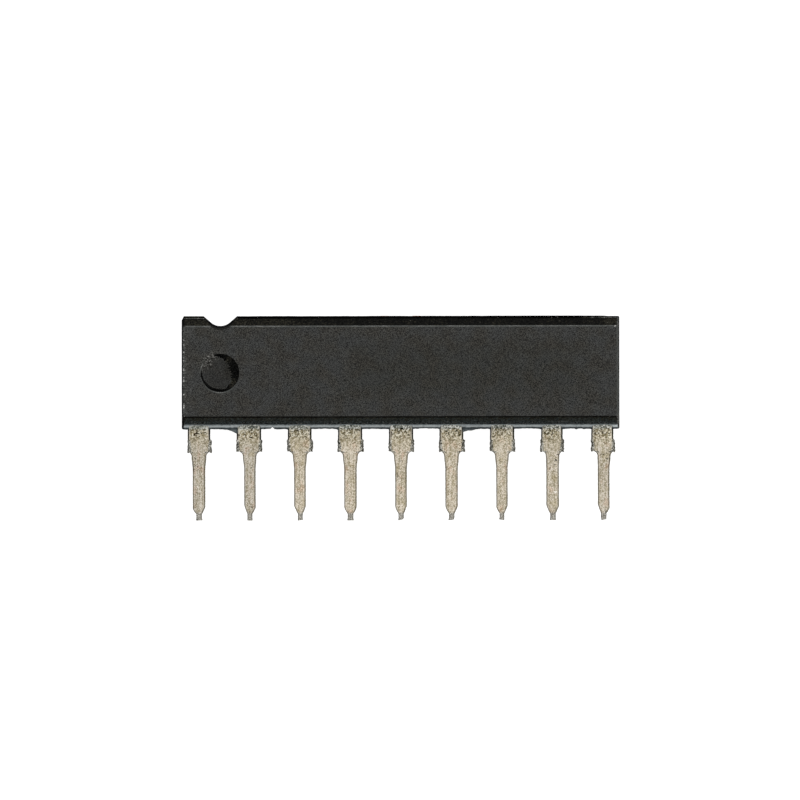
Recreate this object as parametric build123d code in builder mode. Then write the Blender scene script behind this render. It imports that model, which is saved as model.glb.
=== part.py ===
from build123d import *
import os
from math import cos, radians, sin

# Nine-pin single-in-line (SIP) integrated circuit, lying on its back.
# X runs along the row of pins with pin 1 at -X, +Y points away from the pins,
# and +Z is the normal of the front (marking) face.
# The origin is the centre of the back face of the moulded body. Millimetres.

# ---- Lead row ---------------------------------------------------------------
lead_count = 9
lead_pitch = 2.54
lead_thickness = 0.3
pin_width = 0.62              # straight part of the pin
pin_root_width = 0.70         # pin just below its seating shoulder
pin_root_length = 0.9         # over which the root width runs out
pin_length = 3.49             # seating shoulder to the very tip
seat_fillet = 0.2             # between pin and seating shoulder
shoulder_width = 1.20
stand_off = 1.34              # lower edge of the body to the seating shoulder
dam_stub_reach = 0.05         # how far the cut dam bar stands out of the shoulder
dam_stub_height = 0.6
tip_neck_width = 0.28         # sheared link at the end of each pin
tip_neck_length = 0.34
tip_foot_width = 0.32         # drawn-out end of the sheared link
tip_foot_length = 0.1
tip_taper_length = 0.46

# ---- Moulded body -----------------------------------------------------------
end_margin = 0.80             # outer lead centre to the end of the body
face_height = 4.50            # flat front and back faces, along Y
body_thickness = 2.80
flank_run = 0.44              # draft of the long flanks, measured along Y
end_run = 0.08                # draft of the two ends, measured along X
corner_radius = 0.08
face_edge_radius = 0.05
flash_top = 0.08              # trimmed flash left at the parting line
flash_end = 0.04
web_depth = 0.21              # flash left between the leads
web_fillet = 0.12
flash_break_run = 0.12        # flash broken off at the corner beside pin 1, along X
flash_break_drop = 0.21       # and along Y

# ---- Pin-one notch and moulding marks ---------------------------------------
mark_from_end = 1.90          # notch and dimple centre, from the end of the body
notch_depth = 0.50            # from the outermost upper edge, at the parting line
notch_root_radius = 0.73
notch_half_angle = 49.0
notch_draft = 4.0             # degrees, opening towards both faces
dimple_radius = 0.97
dimple_depth = 0.17
dimple_drop = 0.08            # dimple centre below the middle of the face
dimple_taper = 18.0
ejector_mark_radius = 0.95
ejector_mark_depth = 0.05

# ---- Lead frame inside the body ---------------------------------------------
root_depth = 1.10             # wide anchor of each lead inside the body
lock_hole_radius = 0.22
lock_hole_from_edge = 0.55
finger_width = 0.50
finger_gap = 0.30             # between a finger and whatever it stops short of
island_from_top = 0.69        # upper edge of the body to the die island
island_border = 0.40          # island showing round the die
tie_bar_width = 0.40
tie_bar_spacing = 1.60

# ---- Die and bonding --------------------------------------------------------
die_length = 2.20
die_height = 1.70
die_thickness = 0.30
attach_thickness = 0.03
attach_squeeze = 0.05         # adhesive showing round the die
bond_inset = 0.12             # bond centre to the edge of the die
landing_inset = 0.25          # stitch centre to the end of the finger
wire_radius = 0.0125
wire_sides = 8                # flats that stand for the round of so fine a wire
wire_loop_height = 0.20
wire_neck_height = 0.13       # straight rise above the die
wire_lean = 0.08              # from the neck over to the crest
wire_crest = 0.45             # share of the span at which the loop starts down
ball_radius = 0.04
ball_height = 0.03
stitch_radius = 0.05
stitch_height = 0.012

# ---- Values that follow from the sizes above --------------------------------
parting_height = face_height + 2 * flank_run
parting_length = (lead_count - 1) * lead_pitch + 2 * end_margin
face_length = parting_length - 2 * end_run
frame_back = (body_thickness - lead_thickness) / 2
frame_front = frame_back + lead_thickness
body_top = parting_height / 2
body_bottom = -parting_height / 2
outer_top = body_top + flash_top
mark_x = -parting_length / 2 + mark_from_end

seat_y = body_bottom - stand_off
tip_y = seat_y - pin_length
root_top = body_bottom + root_depth

island_length = die_length + 2 * island_border
island_height = die_height + 2 * island_border
island_top = body_top - island_from_top
island_bottom = island_top - island_height
die_y = (island_top + island_bottom) / 2
die_back = frame_front + attach_thickness
die_front = die_back + die_thickness

leads_per_side = lead_count // 2
has_middle_lead = lead_count % 2 == 1
side_rows = max(leads_per_side - 1, 1)
row_pitch = island_height / side_rows


def lead_x(number):
    """Centre of a lead, where pin 1 is at the -X end."""
    return (number - (lead_count + 1) / 2) * lead_pitch


def lead_side(number):
    """-1 or 1 for a lead left or right of the middle, 0 for the middle lead."""
    x = lead_x(number)
    return (x > 0) - (x < 0)


def lead_rank(number):
    """0 for the middle lead, then 1, 2, ... outwards on each side."""
    return int(abs(lead_x(number)) / lead_pitch + 0.5)


def finger_route(number):
    """Centre line of the finger inside the body, from the anchor to its free end."""
    x, side, rank = lead_x(number), lead_side(number), lead_rank(number)
    if side == 0:
        return [(x, root_top), (x, island_bottom - finger_gap)]
    if rank == 1:
        level = island_bottom - finger_gap - finger_width / 2
        end_x = side * (has_middle_lead * finger_width / 2 + finger_gap)
    else:
        level = island_bottom + (rank - 1.5) * row_pitch
        end_x = side * (island_length / 2 + finger_gap)
    return [(x, root_top), (x, level), (end_x, level)]


def bond_point(number):
    """Where the wire of a lead leaves the die."""
    side, rank = lead_side(number), lead_rank(number)
    if rank < 2:
        return side * die_length / 4, die_y - die_height / 2 + bond_inset
    row = rank - 2 - (side_rows - 1) / 2
    return side * (die_length / 2 - bond_inset), die_y + row * die_height / side_rows


def landing_point(number):
    """Where the wire of a lead is stitched to its finger."""
    end = Vector(*finger_route(number)[-1])
    before = Vector(*finger_route(number)[-2])
    landing = end + (before - end).normalized() * landing_inset
    return landing.X, landing.Y


def make_lead(number):
    """One stamped lead: pin, seating shoulder with dam-bar stubs, anchor and finger."""
    x = lead_x(number)
    neck_y = tip_y + tip_neck_length
    taper_y = neck_y + tip_taper_length
    bulge = (pin_width - tip_neck_width) / 2
    taper_radius = (bulge**2 + tip_taper_length**2) / (2 * bulge)
    dam_width = shoulder_width + 2 * dam_stub_reach
    with BuildPart() as lead:
        with BuildSketch(Plane((x, 0, frame_back))):
            with BuildLine():
                Polyline(
                    (0, tip_y),
                    (tip_foot_width / 2, tip_y),
                    (tip_neck_width / 2, tip_y + tip_foot_length),
                    (tip_neck_width / 2, neck_y),
                )
                RadiusArc(
                    (tip_neck_width / 2, neck_y),
                    (pin_width / 2, taper_y),
                    -taper_radius,
                )
                Polyline(
                    (pin_width / 2, taper_y),
                    (pin_width / 2, seat_y - pin_root_length),
                    (pin_root_width / 2, seat_y - seat_fillet),
                )
                RadiusArc(
                    (pin_root_width / 2, seat_y - seat_fillet),
                    (pin_root_width / 2 + seat_fillet, seat_y),
                    seat_fillet,
                )
                Polyline(
                    (pin_root_width / 2 + seat_fillet, seat_y),
                    (dam_width / 2, seat_y),
                    (dam_width / 2, seat_y + dam_stub_height),
                    (shoulder_width / 2, seat_y + dam_stub_height),
                    (shoulder_width / 2, root_top),
                    (0, root_top),
                )
                mirror(about=Plane.YZ)
            make_face()
            with Locations((0, body_bottom + lock_hole_from_edge)):
                Circle(lock_hole_radius, mode=Mode.SUBTRACT)
        with BuildSketch(Plane.XY.offset(frame_back)):
            with BuildLine():
                Polyline(*finger_route(number))
            trace(line_width=finger_width)
        extrude(amount=lead_thickness)
    lead.part.label = f"lead_{number}"
    return lead


def make_bond_wire(number):
    """Gold wire: ball on the die, loop, and a stitch on the finger of its lead."""
    ball = Vector(*bond_point(number), die_front)
    stitch = Vector(*landing_point(number), frame_front)
    level = Vector(stitch.X - ball.X, stitch.Y - ball.Y, 0)
    top = ball + Vector(0, 0, wire_loop_height)
    crest_end = top + level * wire_crest
    under_stitch = stitch + (stitch - crest_end).normalized() * 4 * wire_radius
    with BuildPart() as wire:
        with BuildLine():
            Polyline(
                ball,
                ball + Vector(0, 0, wire_neck_height),
                top + level.normalized() * wire_lean,
                crest_end,
                under_stitch,
            )
        with BuildSketch(Plane(ball)):
            RegularPolygon(wire_radius, wire_sides)
        sweep(transition=Transition.RIGHT)
        with BuildSketch(Plane(stitch)):
            RegularPolygon(stitch_radius, wire_sides)
        extrude(amount=stitch_height)
        split(bisect_by=Plane.XY.offset(frame_front), keep=Keep.TOP)
        with BuildSketch(Plane(ball)):
            RegularPolygon(ball_radius, wire_sides)
        extrude(amount=ball_height)
    wire.part.label = f"bond_wire_{number}"
    return wire


# ---- Leads ------------------------------------------------------------------
leads = [make_lead(number) for number in range(1, lead_count + 1)]

# ---- Die island with its two tie bars ---------------------------------------
with BuildPart() as die_island:
    with BuildSketch(Plane.XY.offset(frame_back)):
        with Locations((0, die_y)):
            Rectangle(island_length, island_height)
        with Locations((0, (island_top + outer_top) / 2)):
            with GridLocations(tie_bar_spacing, 0, 2, 1):
                Rectangle(tie_bar_width, outer_top - island_top)
    extrude(amount=lead_thickness)
die_island.part.label = "die_island"

# ---- Adhesive and silicon die -----------------------------------------------
with BuildPart() as die_attach:
    with BuildSketch(Plane((0, die_y, frame_front))):
        RectangleRounded(
            die_length + 2 * attach_squeeze,
            die_height + 2 * attach_squeeze,
            attach_squeeze,
        )
    extrude(amount=attach_thickness)
die_attach.part.label = "die_attach"

with BuildPart() as silicon_die:
    with BuildSketch(Plane((0, die_y, die_back))):
        Rectangle(die_length, die_height)
    extrude(amount=die_thickness)
silicon_die.part.label = "silicon_die"

# ---- Bond wires -------------------------------------------------------------
bond_wires = [make_bond_wire(number) for number in range(1, lead_count + 1)]


def notch_outline(z, growth=0):
    """Outline of the notch at a height, with its wall moved outwards by growth."""
    radius = notch_root_radius + growth
    centre_y = outer_top - notch_depth + notch_root_radius
    angle = radians(notch_half_angle)
    tangent_x, tangent_y = radius * cos(angle), centre_y - radius * sin(angle)
    mouth_y = outer_top + notch_depth
    mouth_x = tangent_x + (mouth_y - tangent_y) * sin(angle) / cos(angle)
    with BuildSketch(Plane((mark_x, 0, z))) as outline:
        with BuildLine():
            ThreePointArc(
                (-tangent_x, tangent_y), (0, centre_y - radius), (tangent_x, tangent_y)
            )
            Polyline(
                (tangent_x, tangent_y),
                (mouth_x, mouth_y),
                (-mouth_x, mouth_y),
                (-tangent_x, tangent_y),
            )
        make_face()
    return outline.sketch


# ---- Moulded body: two drafted halves and the band between them -------------
with BuildPart() as moulded_body:
    for parting_z, face_z in ((frame_back, 0), (frame_front, body_thickness)):
        with BuildSketch(Plane.XY.offset(parting_z)):
            RectangleRounded(parting_length, parting_height, corner_radius)
        with BuildSketch(Plane.XY.offset(face_z)):
            RectangleRounded(face_length, face_height, corner_radius)
        loft()
    face_rims = moulded_body.faces().filter_by(Axis.Z).sort_by(Axis.Z)
    fillet(face_rims[0].edges() + face_rims[-1].edges(), face_edge_radius)

    # The band is as thick as the lead frame, which the two mould halves clamp.
    with BuildSketch(Plane.XY.offset(frame_back)):
        with Locations((0, (flash_top - web_depth) / 2)):
            RectangleRounded(
                parting_length + 2 * flash_end,
                parting_height + flash_top + web_depth,
                corner_radius,
            )
        with Locations((-parting_length / 2 - flash_end, outer_top)):
            with BuildLine():
                Polyline(
                    (-flash_break_run, -2 * flash_break_drop),
                    (2 * flash_break_run, flash_break_drop),
                    (-flash_break_run, flash_break_drop),
                    (-flash_break_run, -2 * flash_break_drop),
                )
            make_face(mode=Mode.SUBTRACT)
        for lead_number in range(1, lead_count + 1):
            # Flash creeps a little further down both sides of each lead.
            with Locations((lead_x(lead_number), body_bottom - web_depth)):
                for side in (-1, 1):
                    with BuildLine():
                        corner = (side * shoulder_width / 2, 0)
                        foot = (side * shoulder_width / 2, -web_fillet)
                        run = (side * (shoulder_width / 2 + web_fillet), 0)
                        Polyline(run, corner, foot)
                        RadiusArc(foot, run, -side * web_fillet)
                    make_face()
    extrude(amount=lead_thickness)

    # Notch in the upper edge, drafted from the parting line to both faces.
    for parting_z, face_z in ((frame_back, 0), (frame_front, body_thickness)):
        growth = abs(face_z - parting_z) * sin(radians(notch_draft))
        loft(
            [notch_outline(parting_z).face(), notch_outline(face_z, growth).face()],
            mode=Mode.SUBTRACT,
        )
    extrude(notch_outline(frame_back), amount=lead_thickness, mode=Mode.SUBTRACT)

    # Dimple beside pin 1, and the two ejector marks on the back.
    with BuildSketch(Plane((mark_x, -dimple_drop, body_thickness))):
        Circle(dimple_radius)
    extrude(amount=-dimple_depth, taper=dimple_taper, mode=Mode.SUBTRACT)
    with BuildSketch(Plane((0, -dimple_drop, 0))):
        with GridLocations(2 * abs(mark_x), 0, 2, 1):
            Circle(ejector_mark_radius)
    extrude(amount=ejector_mark_depth, mode=Mode.SUBTRACT)

    # Everything that the compound was moulded round.
    for insert in (die_island, die_attach, silicon_die, *leads, *bond_wires):
        add(insert.part, mode=Mode.SUBTRACT)
moulded_body.part.label = "moulded_body"

# ---- Export -----------------------------------------------------------------
os.makedirs("parts", exist_ok=True)
for piece in (moulded_body, die_island, die_attach, silicon_die, *leads, *bond_wires):
    export_step(piece.part, f"parts/{piece.part.label}.step")
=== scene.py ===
"""Looks of a nine-pin single in-line integrated circuit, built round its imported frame.

The part lies on its back: +X runs along the row of pins from pin one, +Y points away
from the pins and +Z is the normal of the front face. Shapes are worked out in
millimetres and written in metres.
"""

import logging
import math
from dataclasses import dataclass, field
from enum import Enum
from typing import Any, Optional, Union

import bmesh
import bpy
import numpy as np
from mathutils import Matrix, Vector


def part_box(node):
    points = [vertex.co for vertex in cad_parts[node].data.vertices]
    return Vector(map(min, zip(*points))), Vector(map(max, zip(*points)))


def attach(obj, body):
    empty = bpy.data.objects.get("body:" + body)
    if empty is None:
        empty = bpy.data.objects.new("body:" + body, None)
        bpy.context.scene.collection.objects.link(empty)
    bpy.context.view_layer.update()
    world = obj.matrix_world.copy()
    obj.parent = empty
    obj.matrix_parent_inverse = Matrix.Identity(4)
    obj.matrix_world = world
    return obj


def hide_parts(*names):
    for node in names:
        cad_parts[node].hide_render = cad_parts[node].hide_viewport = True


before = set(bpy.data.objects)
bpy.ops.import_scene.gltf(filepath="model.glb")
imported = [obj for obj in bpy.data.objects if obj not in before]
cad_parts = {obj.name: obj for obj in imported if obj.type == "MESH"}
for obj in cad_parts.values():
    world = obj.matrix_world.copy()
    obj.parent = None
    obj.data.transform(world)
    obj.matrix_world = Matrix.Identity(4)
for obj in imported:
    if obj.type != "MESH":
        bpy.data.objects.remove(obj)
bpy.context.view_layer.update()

LOG = logging.getLogger("sip_package")
MM = 0.001
BODY = "root"
LEAD_COUNT = 9
LEAD_PITCH = 2.54
WELD_MM = 2e-5  # points closer than this become one
TOUCH_MM = 1e-6  # levels closer than this count as the same
SHARP_ANGLE = math.radians(40)  # edges that turn more than this stay sharp

# Marks that the meshes carry from point to point, for the finishes to read.
RIM_LIGHT_SHADE = "rim"  # matted faces: above 0 a painted highlight along lit rims, past 1 a painted glint, below 0 painted shade
SPECKLE = "speckle"  # matted faces: 1 where the skin is torn into light and dark; at the dimple's upper left the light flakes are in part a painted highlight
TONE = "tone"  # polished walls and flash: place on their scale of tones, which also paints light and shade
FROM_EDGE = "from_edge"  # leads: millimetres to the nearer edge, below 0 down the side
STAIN = "stain"  # leads: 1 where pits crowd together, -1 where bright worn specks do, painted white as glints
TARNISH = "tarnish"  # leads: 0 for fresh tin, 1 for tin under a grey film

Array = np.ndarray
Socket = bpy.types.NodeSocket
Colour = Union[str, Socket]  # an sRGB hex code or an output that gives a colour
Tree = bpy.types.NodeTree


# ---- Shared numbers and lines ------------------------------------------------------
def box_mm(node: str) -> tuple[Array, Array]:
    """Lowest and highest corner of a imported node, in millimetres."""
    low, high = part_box(node)
    return np.array(low) / MM, np.array(high) / MM


def lead_x(number: int) -> float:
    """Centre of a lead, with pin one at the -X end."""
    return (number - (LEAD_COUNT + 1) / 2) * LEAD_PITCH


def ease(start: float, end: float, value: Array) -> Array:
    """0 before start, 1 after end, and the cubic 3t^2 - 2t^3 in between."""
    share = np.clip((value - start) / (end - start), 0, 1)
    return share * share * (3 - 2 * share)


def hump(value: Array, centre: float, reach: float) -> Array:
    """Bell curve of height 1: e to the power of minus the squared distance over reach."""
    return np.exp(-(((value - centre) / reach) ** 2))


def lobe(bearing: Array, centre: float, reach: float) -> Array:
    """Bell curve of height 1 about a bearing; its centre and reach are in degrees."""
    return hump(bearing, math.radians(centre), math.radians(reach))


def wander(value: Array, spacing: float, amplitude: float, seed: int) -> Array:
    """Smooth random line.

    Random heights stand at knots one spacing apart, and a half cosine joins them.

    Args:
        value: Places along the line.
        spacing: Distance between knots.
        amplitude: Largest height.
        seed: Picks the heights.

    Returns:
        The height at each place.
    """
    start = float(value.min()) - spacing
    count = int((float(value.max()) - start) / spacing) + 3
    heights = np.random.default_rng(seed).uniform(-1, 1, count)
    place = (value - start) / spacing
    left = np.floor(place).astype(int)
    share = (1 - np.cos(np.pi * (place - left))) / 2
    return amplitude * (heights[left] * (1 - share) + heights[left + 1] * share)


def circle_facing(outline: Array, centre: Array, radius: Union[Array, float]) -> Array:
    """Point of a circle that lies in the direction of each outline point.

    Args:
        outline: Points round the circle, n by 2.
        centre: Centre of the circle.
        radius: One radius, or one for each point.

    Returns:
        The points on the circle, n by 2.
    """
    spoke = outline - centre
    length = np.linalg.norm(spoke, axis=1, keepdims=True)
    return centre + spoke / length * np.reshape(radius, (-1, 1))


def at_height(flat: Array, z: Union[Array, float]) -> Array:
    """Flat points, n by 2, raised to one height or to one height each."""
    return np.column_stack([flat, np.broadcast_to(z, len(flat))])


def by_side(side: Array, *values: Union[Array, float]) -> Array:
    """For each column, the value of the side it lies on, in the order of BodySide."""
    return np.choose(side, values)


# ---- Meshes from grids ---------------------------------------------------------------
@dataclass
class Sheet:
    """A grid of points whose columns close on themselves, with its finish and marks."""

    points: Array
    finish: Optional[Array] = None
    marks: dict[str, Union[Array, float]] = field(default_factory=dict)

    def cells(self) -> Array:
        """Cells of the grid, wrapped round from the last column to the first.

        Returns:
            Four corner numbers for each cell, row after row.
        """
        rows, columns = self.points.shape[:2]
        number = np.arange(rows * columns).reshape(rows, columns)
        number = np.concatenate([number, number[:, :1]], axis=1)
        corners = [number[:-1, :-1], number[:-1, 1:], number[1:, 1:], number[1:, :-1]]
        return np.stack(corners, axis=-1).reshape(-1, 4)

    def finishes(self) -> Array:
        """Finish of each cell; a sheet with none has finish 0 all over.

        Returns:
            Finish numbers, in the order of cells().
        """
        if self.finish is None:
            return np.zeros(len(self.cells()), int)
        return self.finish.reshape(-1)

    def mark(self, name: str) -> Array:
        """One mark at every point, 0 where the sheet has none."""
        empty = np.zeros(self.points.shape[:2])
        return np.broadcast_to(self.marks.get(name, empty), empty.shape).reshape(-1)


def build_piece(
    name: str, sheets: list[Sheet], materials: list[bpy.types.Material], node: str
) -> bpy.types.Object:
    """Makes one closed piece from grids that meet at their borders, in a node's place.

    Args:
        name: Name of the piece.
        sheets: Grids in millimetres; points that coincide are welded.
        materials: One for each finish number.
        node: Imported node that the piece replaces.

    Returns:
        The object, at the origin, with its place in its mesh.
    """
    sizes = [s.points.shape[0] * s.points.shape[1] for s in sheets]
    starts = np.cumsum([0] + sizes[:-1])
    points = np.concatenate([s.points.reshape(-1, 3) for s in sheets])
    cells = np.concatenate([s.cells() + start for s, start in zip(sheets, starts)])
    finishes = np.concatenate([s.finishes() for s in sheets]).astype(np.int32)

    mesh = bpy.data.meshes.new(name)
    mesh.from_pydata((points * MM).tolist(), [], cells.tolist())
    mesh.polygons.foreach_set("material_index", finishes)
    for mark in sorted({key for s in sheets for key in s.marks}):
        layer = mesh.attributes.new(mark, "FLOAT", "POINT")
        values = np.concatenate([s.mark(mark) for s in sheets])
        layer.data.foreach_set("value", values.astype(np.float32))
    for material in materials:
        mesh.materials.append(material)

    work = bmesh.new()
    work.from_mesh(mesh)
    bmesh.ops.remove_doubles(work, verts=work.verts, dist=WELD_MM * MM)
    bmesh.ops.recalc_face_normals(work, faces=work.faces)
    work.to_mesh(mesh)
    work.free()
    mesh.polygons.foreach_set("use_smooth", np.ones(len(mesh.polygons), bool))
    mesh.set_sharp_from_angle(angle=SHARP_ANGLE)
    piece = bpy.data.objects.new(name, mesh)
    bpy.context.scene.collection.objects.link(piece)
    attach(piece, BODY)
    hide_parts(node)
    return piece


# ---- Finishes --------------------------------------------------------------------------
def linear(code: str) -> tuple[float, float, float, float]:
    """Linear colour of an sRGB hex code such as "#3a3a37".

    A channel c becomes c / 12.92 up to 0.04045 and ((c + 0.055) / 1.055)^2.4 above it.

    Args:
        code: A hash and two hex digits each of red, green and blue.

    Returns:
        Red, green, blue and an alpha of 1.
    """
    channels = [int(code[i : i + 2], 16) / 255 for i in (1, 3, 5)]
    red, green, blue = (
        c / 12.92 if c <= 0.04045 else ((c + 0.055) / 1.055) ** 2.4 for c in channels
    )
    return red, green, blue, 1.0


def add_node(
    tree: Tree,
    kind: str,
    inputs: dict[Union[str, int], Any],
    take: Union[str, int] = 0,
    **settings: Any,
) -> Optional[Socket]:
    """Adds one node and hands back one of its outputs.

    Args:
        tree: Where it goes.
        kind: Blender's name of the node type, without "ShaderNode".
        inputs: Socket name or number, to a value, a hex colour or an output to link.
        take: Name or number of the output that is wanted.
        **settings: Properties of the node.

    Returns:
        The output, or None where the node has none.
    """
    node = tree.nodes.new("ShaderNode" + kind)
    for key, value in settings.items():
        setattr(node, key, value)
    for key, value in inputs.items():
        if isinstance(value, Socket):
            tree.links.new(value, node.inputs[key])
        elif isinstance(value, str):
            node.inputs[key].default_value = linear(value)
        else:
            node.inputs[key].default_value = value
    return node.outputs[take] if len(node.outputs) else None


def ramps(tree: Tree, *slopes: tuple[Socket, float, float]) -> Socket:
    """Product of straight ramps, each of which climbs from 0 to 1 and stays there.

    A ramp whose ends lie beyond the reach of its value only weakens the product.

    Args:
        tree: Where the nodes go.
        *slopes: A value, its level at the foot of its ramp and its level at the top.

    Returns:
        The factor.
    """
    factor, *others = [
        add_node(tree, "MapRange", {"Value": value, "From Min": foot, "From Max": top}, "Result")
        for value, foot, top in slopes
    ]
    for other in others:
        factor = add_node(tree, "Math", {0: factor, 1: other}, operation="MULTIPLY")
    return factor


def lay(tree: Tree, ground: Colour, *covers: tuple[Any, Colour], blend: str = "MIX") -> Colour:
    """Colour with covers laid over it, one after another.

    Args:
        tree: Where the nodes go.
        ground: The colour at the bottom.
        *covers: How much of each cover shows, and its colour, the lowest cover first.
        blend: Blender's name of the way in which they are laid.

    Returns:
        The colour.
    """
    for share, cover in covers:
        ground = add_node(
            tree, "Mix", {0: share, 6: ground, 7: cover}, 2, data_type="RGBA", blend_type=blend
        )
    return ground


def tones(tree: Tree, value: Socket, *stops: tuple[float, Colour]) -> Colour:
    """Colour that passes from stop to stop as a value rises.

    Args:
        tree: Where the nodes go.
        value: What picks the colour.
        *stops: Level of the value, and the colour that it has there.

    Returns:
        The colour.
    """
    colour = stops[0][1]
    for (low, _), (high, following) in zip(stops, stops[1:]):
        colour = lay(tree, colour, (ramps(tree, (value, low, high)), following))
    return colour


def specks(tree: Tree, place: Socket, size: float, share: float) -> Socket:
    """Sparse round specks: 1 inside them and 0 between.

    Args:
        tree: Where the nodes go.
        place: Coordinates in millimetres.
        size: Width of the cells that may hold a speck.
        share: Share of the cells that hold one.

    Returns:
        The factor.
    """
    away = add_node(tree, "TexVoronoi", {"Vector": place, "Scale": 1 / size}, "Distance")
    lot = add_node(tree, "SeparateColor", {"Color": away.node.outputs["Color"]}, "Red")
    chosen = add_node(tree, "Math", {0: lot, 1: 1 - share}, operation="GREATER_THAN")
    dot = ramps(tree, (away, 0.36, 0.2))
    return add_node(tree, "Math", {0: chosen, 1: dot}, operation="MULTIPLY")


def clouded_tone(tree: Tree, cloud: Socket, swing: float) -> Socket:
    """The tone that a surface carries, moved up and down by a cloud.

    Args:
        tree: Where the nodes go.
        cloud: A noise about one half.
        swing: How far the tone moves as the cloud goes from 0 to 1.

    Returns:
        The tone: its mark plus swing times the cloud less a half.
    """
    tone = add_node(tree, "Attribute", {}, "Fac", attribute_name=TONE)
    tone = add_node(tree, "Math", {0: cloud, 1: swing, 2: tone}, operation="MULTIPLY_ADD")
    return add_node(tree, "Math", {0: tone, 1: swing / 2}, operation="SUBTRACT")


@dataclass(frozen=True)
class Finish:
    """What every finish shares: its name, its relief and both ends of its material."""

    name: str = "finish"
    relief_strength: float = 0.4
    relief_mm: float = 0.004

    def start(self) -> tuple[bpy.types.Material, Tree, Socket]:
        """Makes the material.

        Returns:
            The material, its empty tree and the Object coordinates in millimetres.
        """
        material = bpy.data.materials.new(self.name)
        material.use_nodes = True
        tree = material.node_tree
        tree.nodes.clear()
        metres = add_node(tree, "TexCoord", {}, "Object")
        place = add_node(tree, "VectorMath", {0: metres, "Scale": 1 / MM}, operation="SCALE")
        return material, tree, place

    def close(self, tree: Tree, height: Socket, surface: dict[str, Any]) -> None:
        """Adds the relief, the surface and the output.

        Args:
            tree: Where the nodes go.
            height: What the relief follows; a coat follows it too.
            surface: The other sockets of the surface.
        """
        relief = add_node(
            tree, "Bump",
            {
                "Strength": self.relief_strength,
                "Distance": self.relief_mm * MM,
                "Height": height,
            },
        )
        normals = ("Normal", "Coat Normal") if "Coat Weight" in surface else ("Normal",)
        shader = add_node(tree, "BsdfPrincipled", {**surface, **dict.fromkeys(normals, relief)})
        add_node(tree, "OutputMaterial", {"Surface": shader})


@dataclass(frozen=True)
class EdmMattedEpoxy(Finish):
    """Epoxy moulding compound against a spark-eroded mould wall.

    The eroded wall leaves a fine even grain, which scatters light and turns the black
    compound charcoal, a little warmer here and cooler there. A faint darker patch lies
    over the middle and right of the face. A highlight is painted pale along the lit
    rims, with a brighter glint past it, and shade is painted dark round the notch and in
    the dimple. The skin is torn where the dimple's ejector pin dragged it, and its light
    flakes at the dimple's upper left are in part a painted highlight.
    """

    name: str = "edm_matted_epoxy"
    light: str = "#494946"
    dark: str = "#040403"
    tints: tuple[tuple[float, str], ...] = ((0.36, "#fffaf4"), (0.5, "#ffffff"), (0.64, "#f6f9ff"))
    # Painted light along the rims: a highlight, a brighter glint past it, and near black shade,
    # which the dark torn flakes share; the light torn flakes are in part a painted highlight.
    rim_highlight: str = "#494b49"
    glint: str = "#e4e2de"
    shade_and_flake_dark: str = "#0d0c08"
    torn_light: str = "#aaa8a3"
    # A faint darker patch over the middle and right of the face.
    darker_patch: str = "#efefeb"
    darker_patch_x: tuple[float, float] = (-2.4, 9.2)
    darker_patch_y: tuple[float, float] = (-1.2, 1.4)
    darker_patch_fade: tuple[float, float] = (1.0, 0.4)  # half its soft edge, along and across
    grain_mm: float = 0.034  # crater spacing, drawn twice as coarse so that it shows
    grain_turn: tuple[float, float, float] = (0.5, 0.35, 0.6)  # off the faces' own axes
    torn_mm: float = 0.075  # width of a torn flake
    blotch_mm: float = 0.9  # spacing of the warm and cool blotches
    blotch_swing: float = 0.08
    roughness: float = 0.7
    specular: float = 0.15

    def build(self) -> bpy.types.Material:
        """Grain, faint warm and cool blotches, a darker patch, torn skin, and painted highlight and
        shade along the rims.

        Returns:
            The material.
        """
        material, tree, place = self.start()
        turned = add_node(tree, "Mapping", {"Vector": place, "Rotation": self.grain_turn})
        grain = add_node(
            tree, "TexNoise", {"Vector": turned, "Scale": 1 / self.grain_mm, "Detail": 1.0}
        )
        blotch = add_node(
            tree, "TexNoise", {"Vector": place, "Scale": 1 / self.blotch_mm, "Detail": 1.0}
        )
        uneven = add_node(
            tree, "Math", {0: blotch, 1: self.blotch_swing, 2: grain}, operation="MULTIPLY_ADD"
        )
        ground = tones(tree, uneven, (0.47, self.dark), (0.605, self.light))

        x = add_node(tree, "SeparateXYZ", {"Vector": place}, "X")
        y = x.node.outputs["Y"]
        (left, right), (low, high) = self.darker_patch_x, self.darker_patch_y
        along, across = self.darker_patch_fade
        darker_patch = ramps(
            tree,
            (x, left - along, left + along),
            (x, right + along, right - along),
            (y, low - across, low + across),
            (y, high + across, high - across),
        )
        tint = tones(tree, blotch, *self.tints)
        ground = lay(tree, ground, (1.0, tint), (darker_patch, self.darker_patch), blend="MULTIPLY")

        flakes = add_node(tree, "TexNoise", {"Vector": place, "Scale": 1 / self.torn_mm})
        torn = tones(
            tree, flakes, (0.42, self.shade_and_flake_dark), (0.54, self.light), (0.68, self.torn_light)
        )
        speckle = add_node(tree, "Attribute", {}, "Fac", attribute_name=SPECKLE)
        ground = lay(tree, ground, (speckle, torn))

        # The rim mark paints a highlight above 0, a glint past 1 and shade below 0.
        rim = add_node(tree, "Attribute", {}, "Fac", attribute_name=RIM_LIGHT_SHADE)
        ragged = add_node(
            tree, "MapRange",
            {"Value": grain, "From Min": 0.3, "From Max": 0.7, "To Min": 0.75, "To Max": 1.25},
            "Result",
        )
        rim = add_node(tree, "Math", {0: rim, 1: ragged}, operation="MULTIPLY")
        colour = tones(
            tree, rim,
            (-1.0, self.shade_and_flake_dark), (0.0, ground), (1.0, self.rim_highlight), (2.5, self.glint),
        )
        surface = {
            "Base Color": colour,
            "Roughness": self.roughness,
            "Specular IOR Level": self.specular,
        }
        self.close(tree, grain, surface)
        return material


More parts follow.
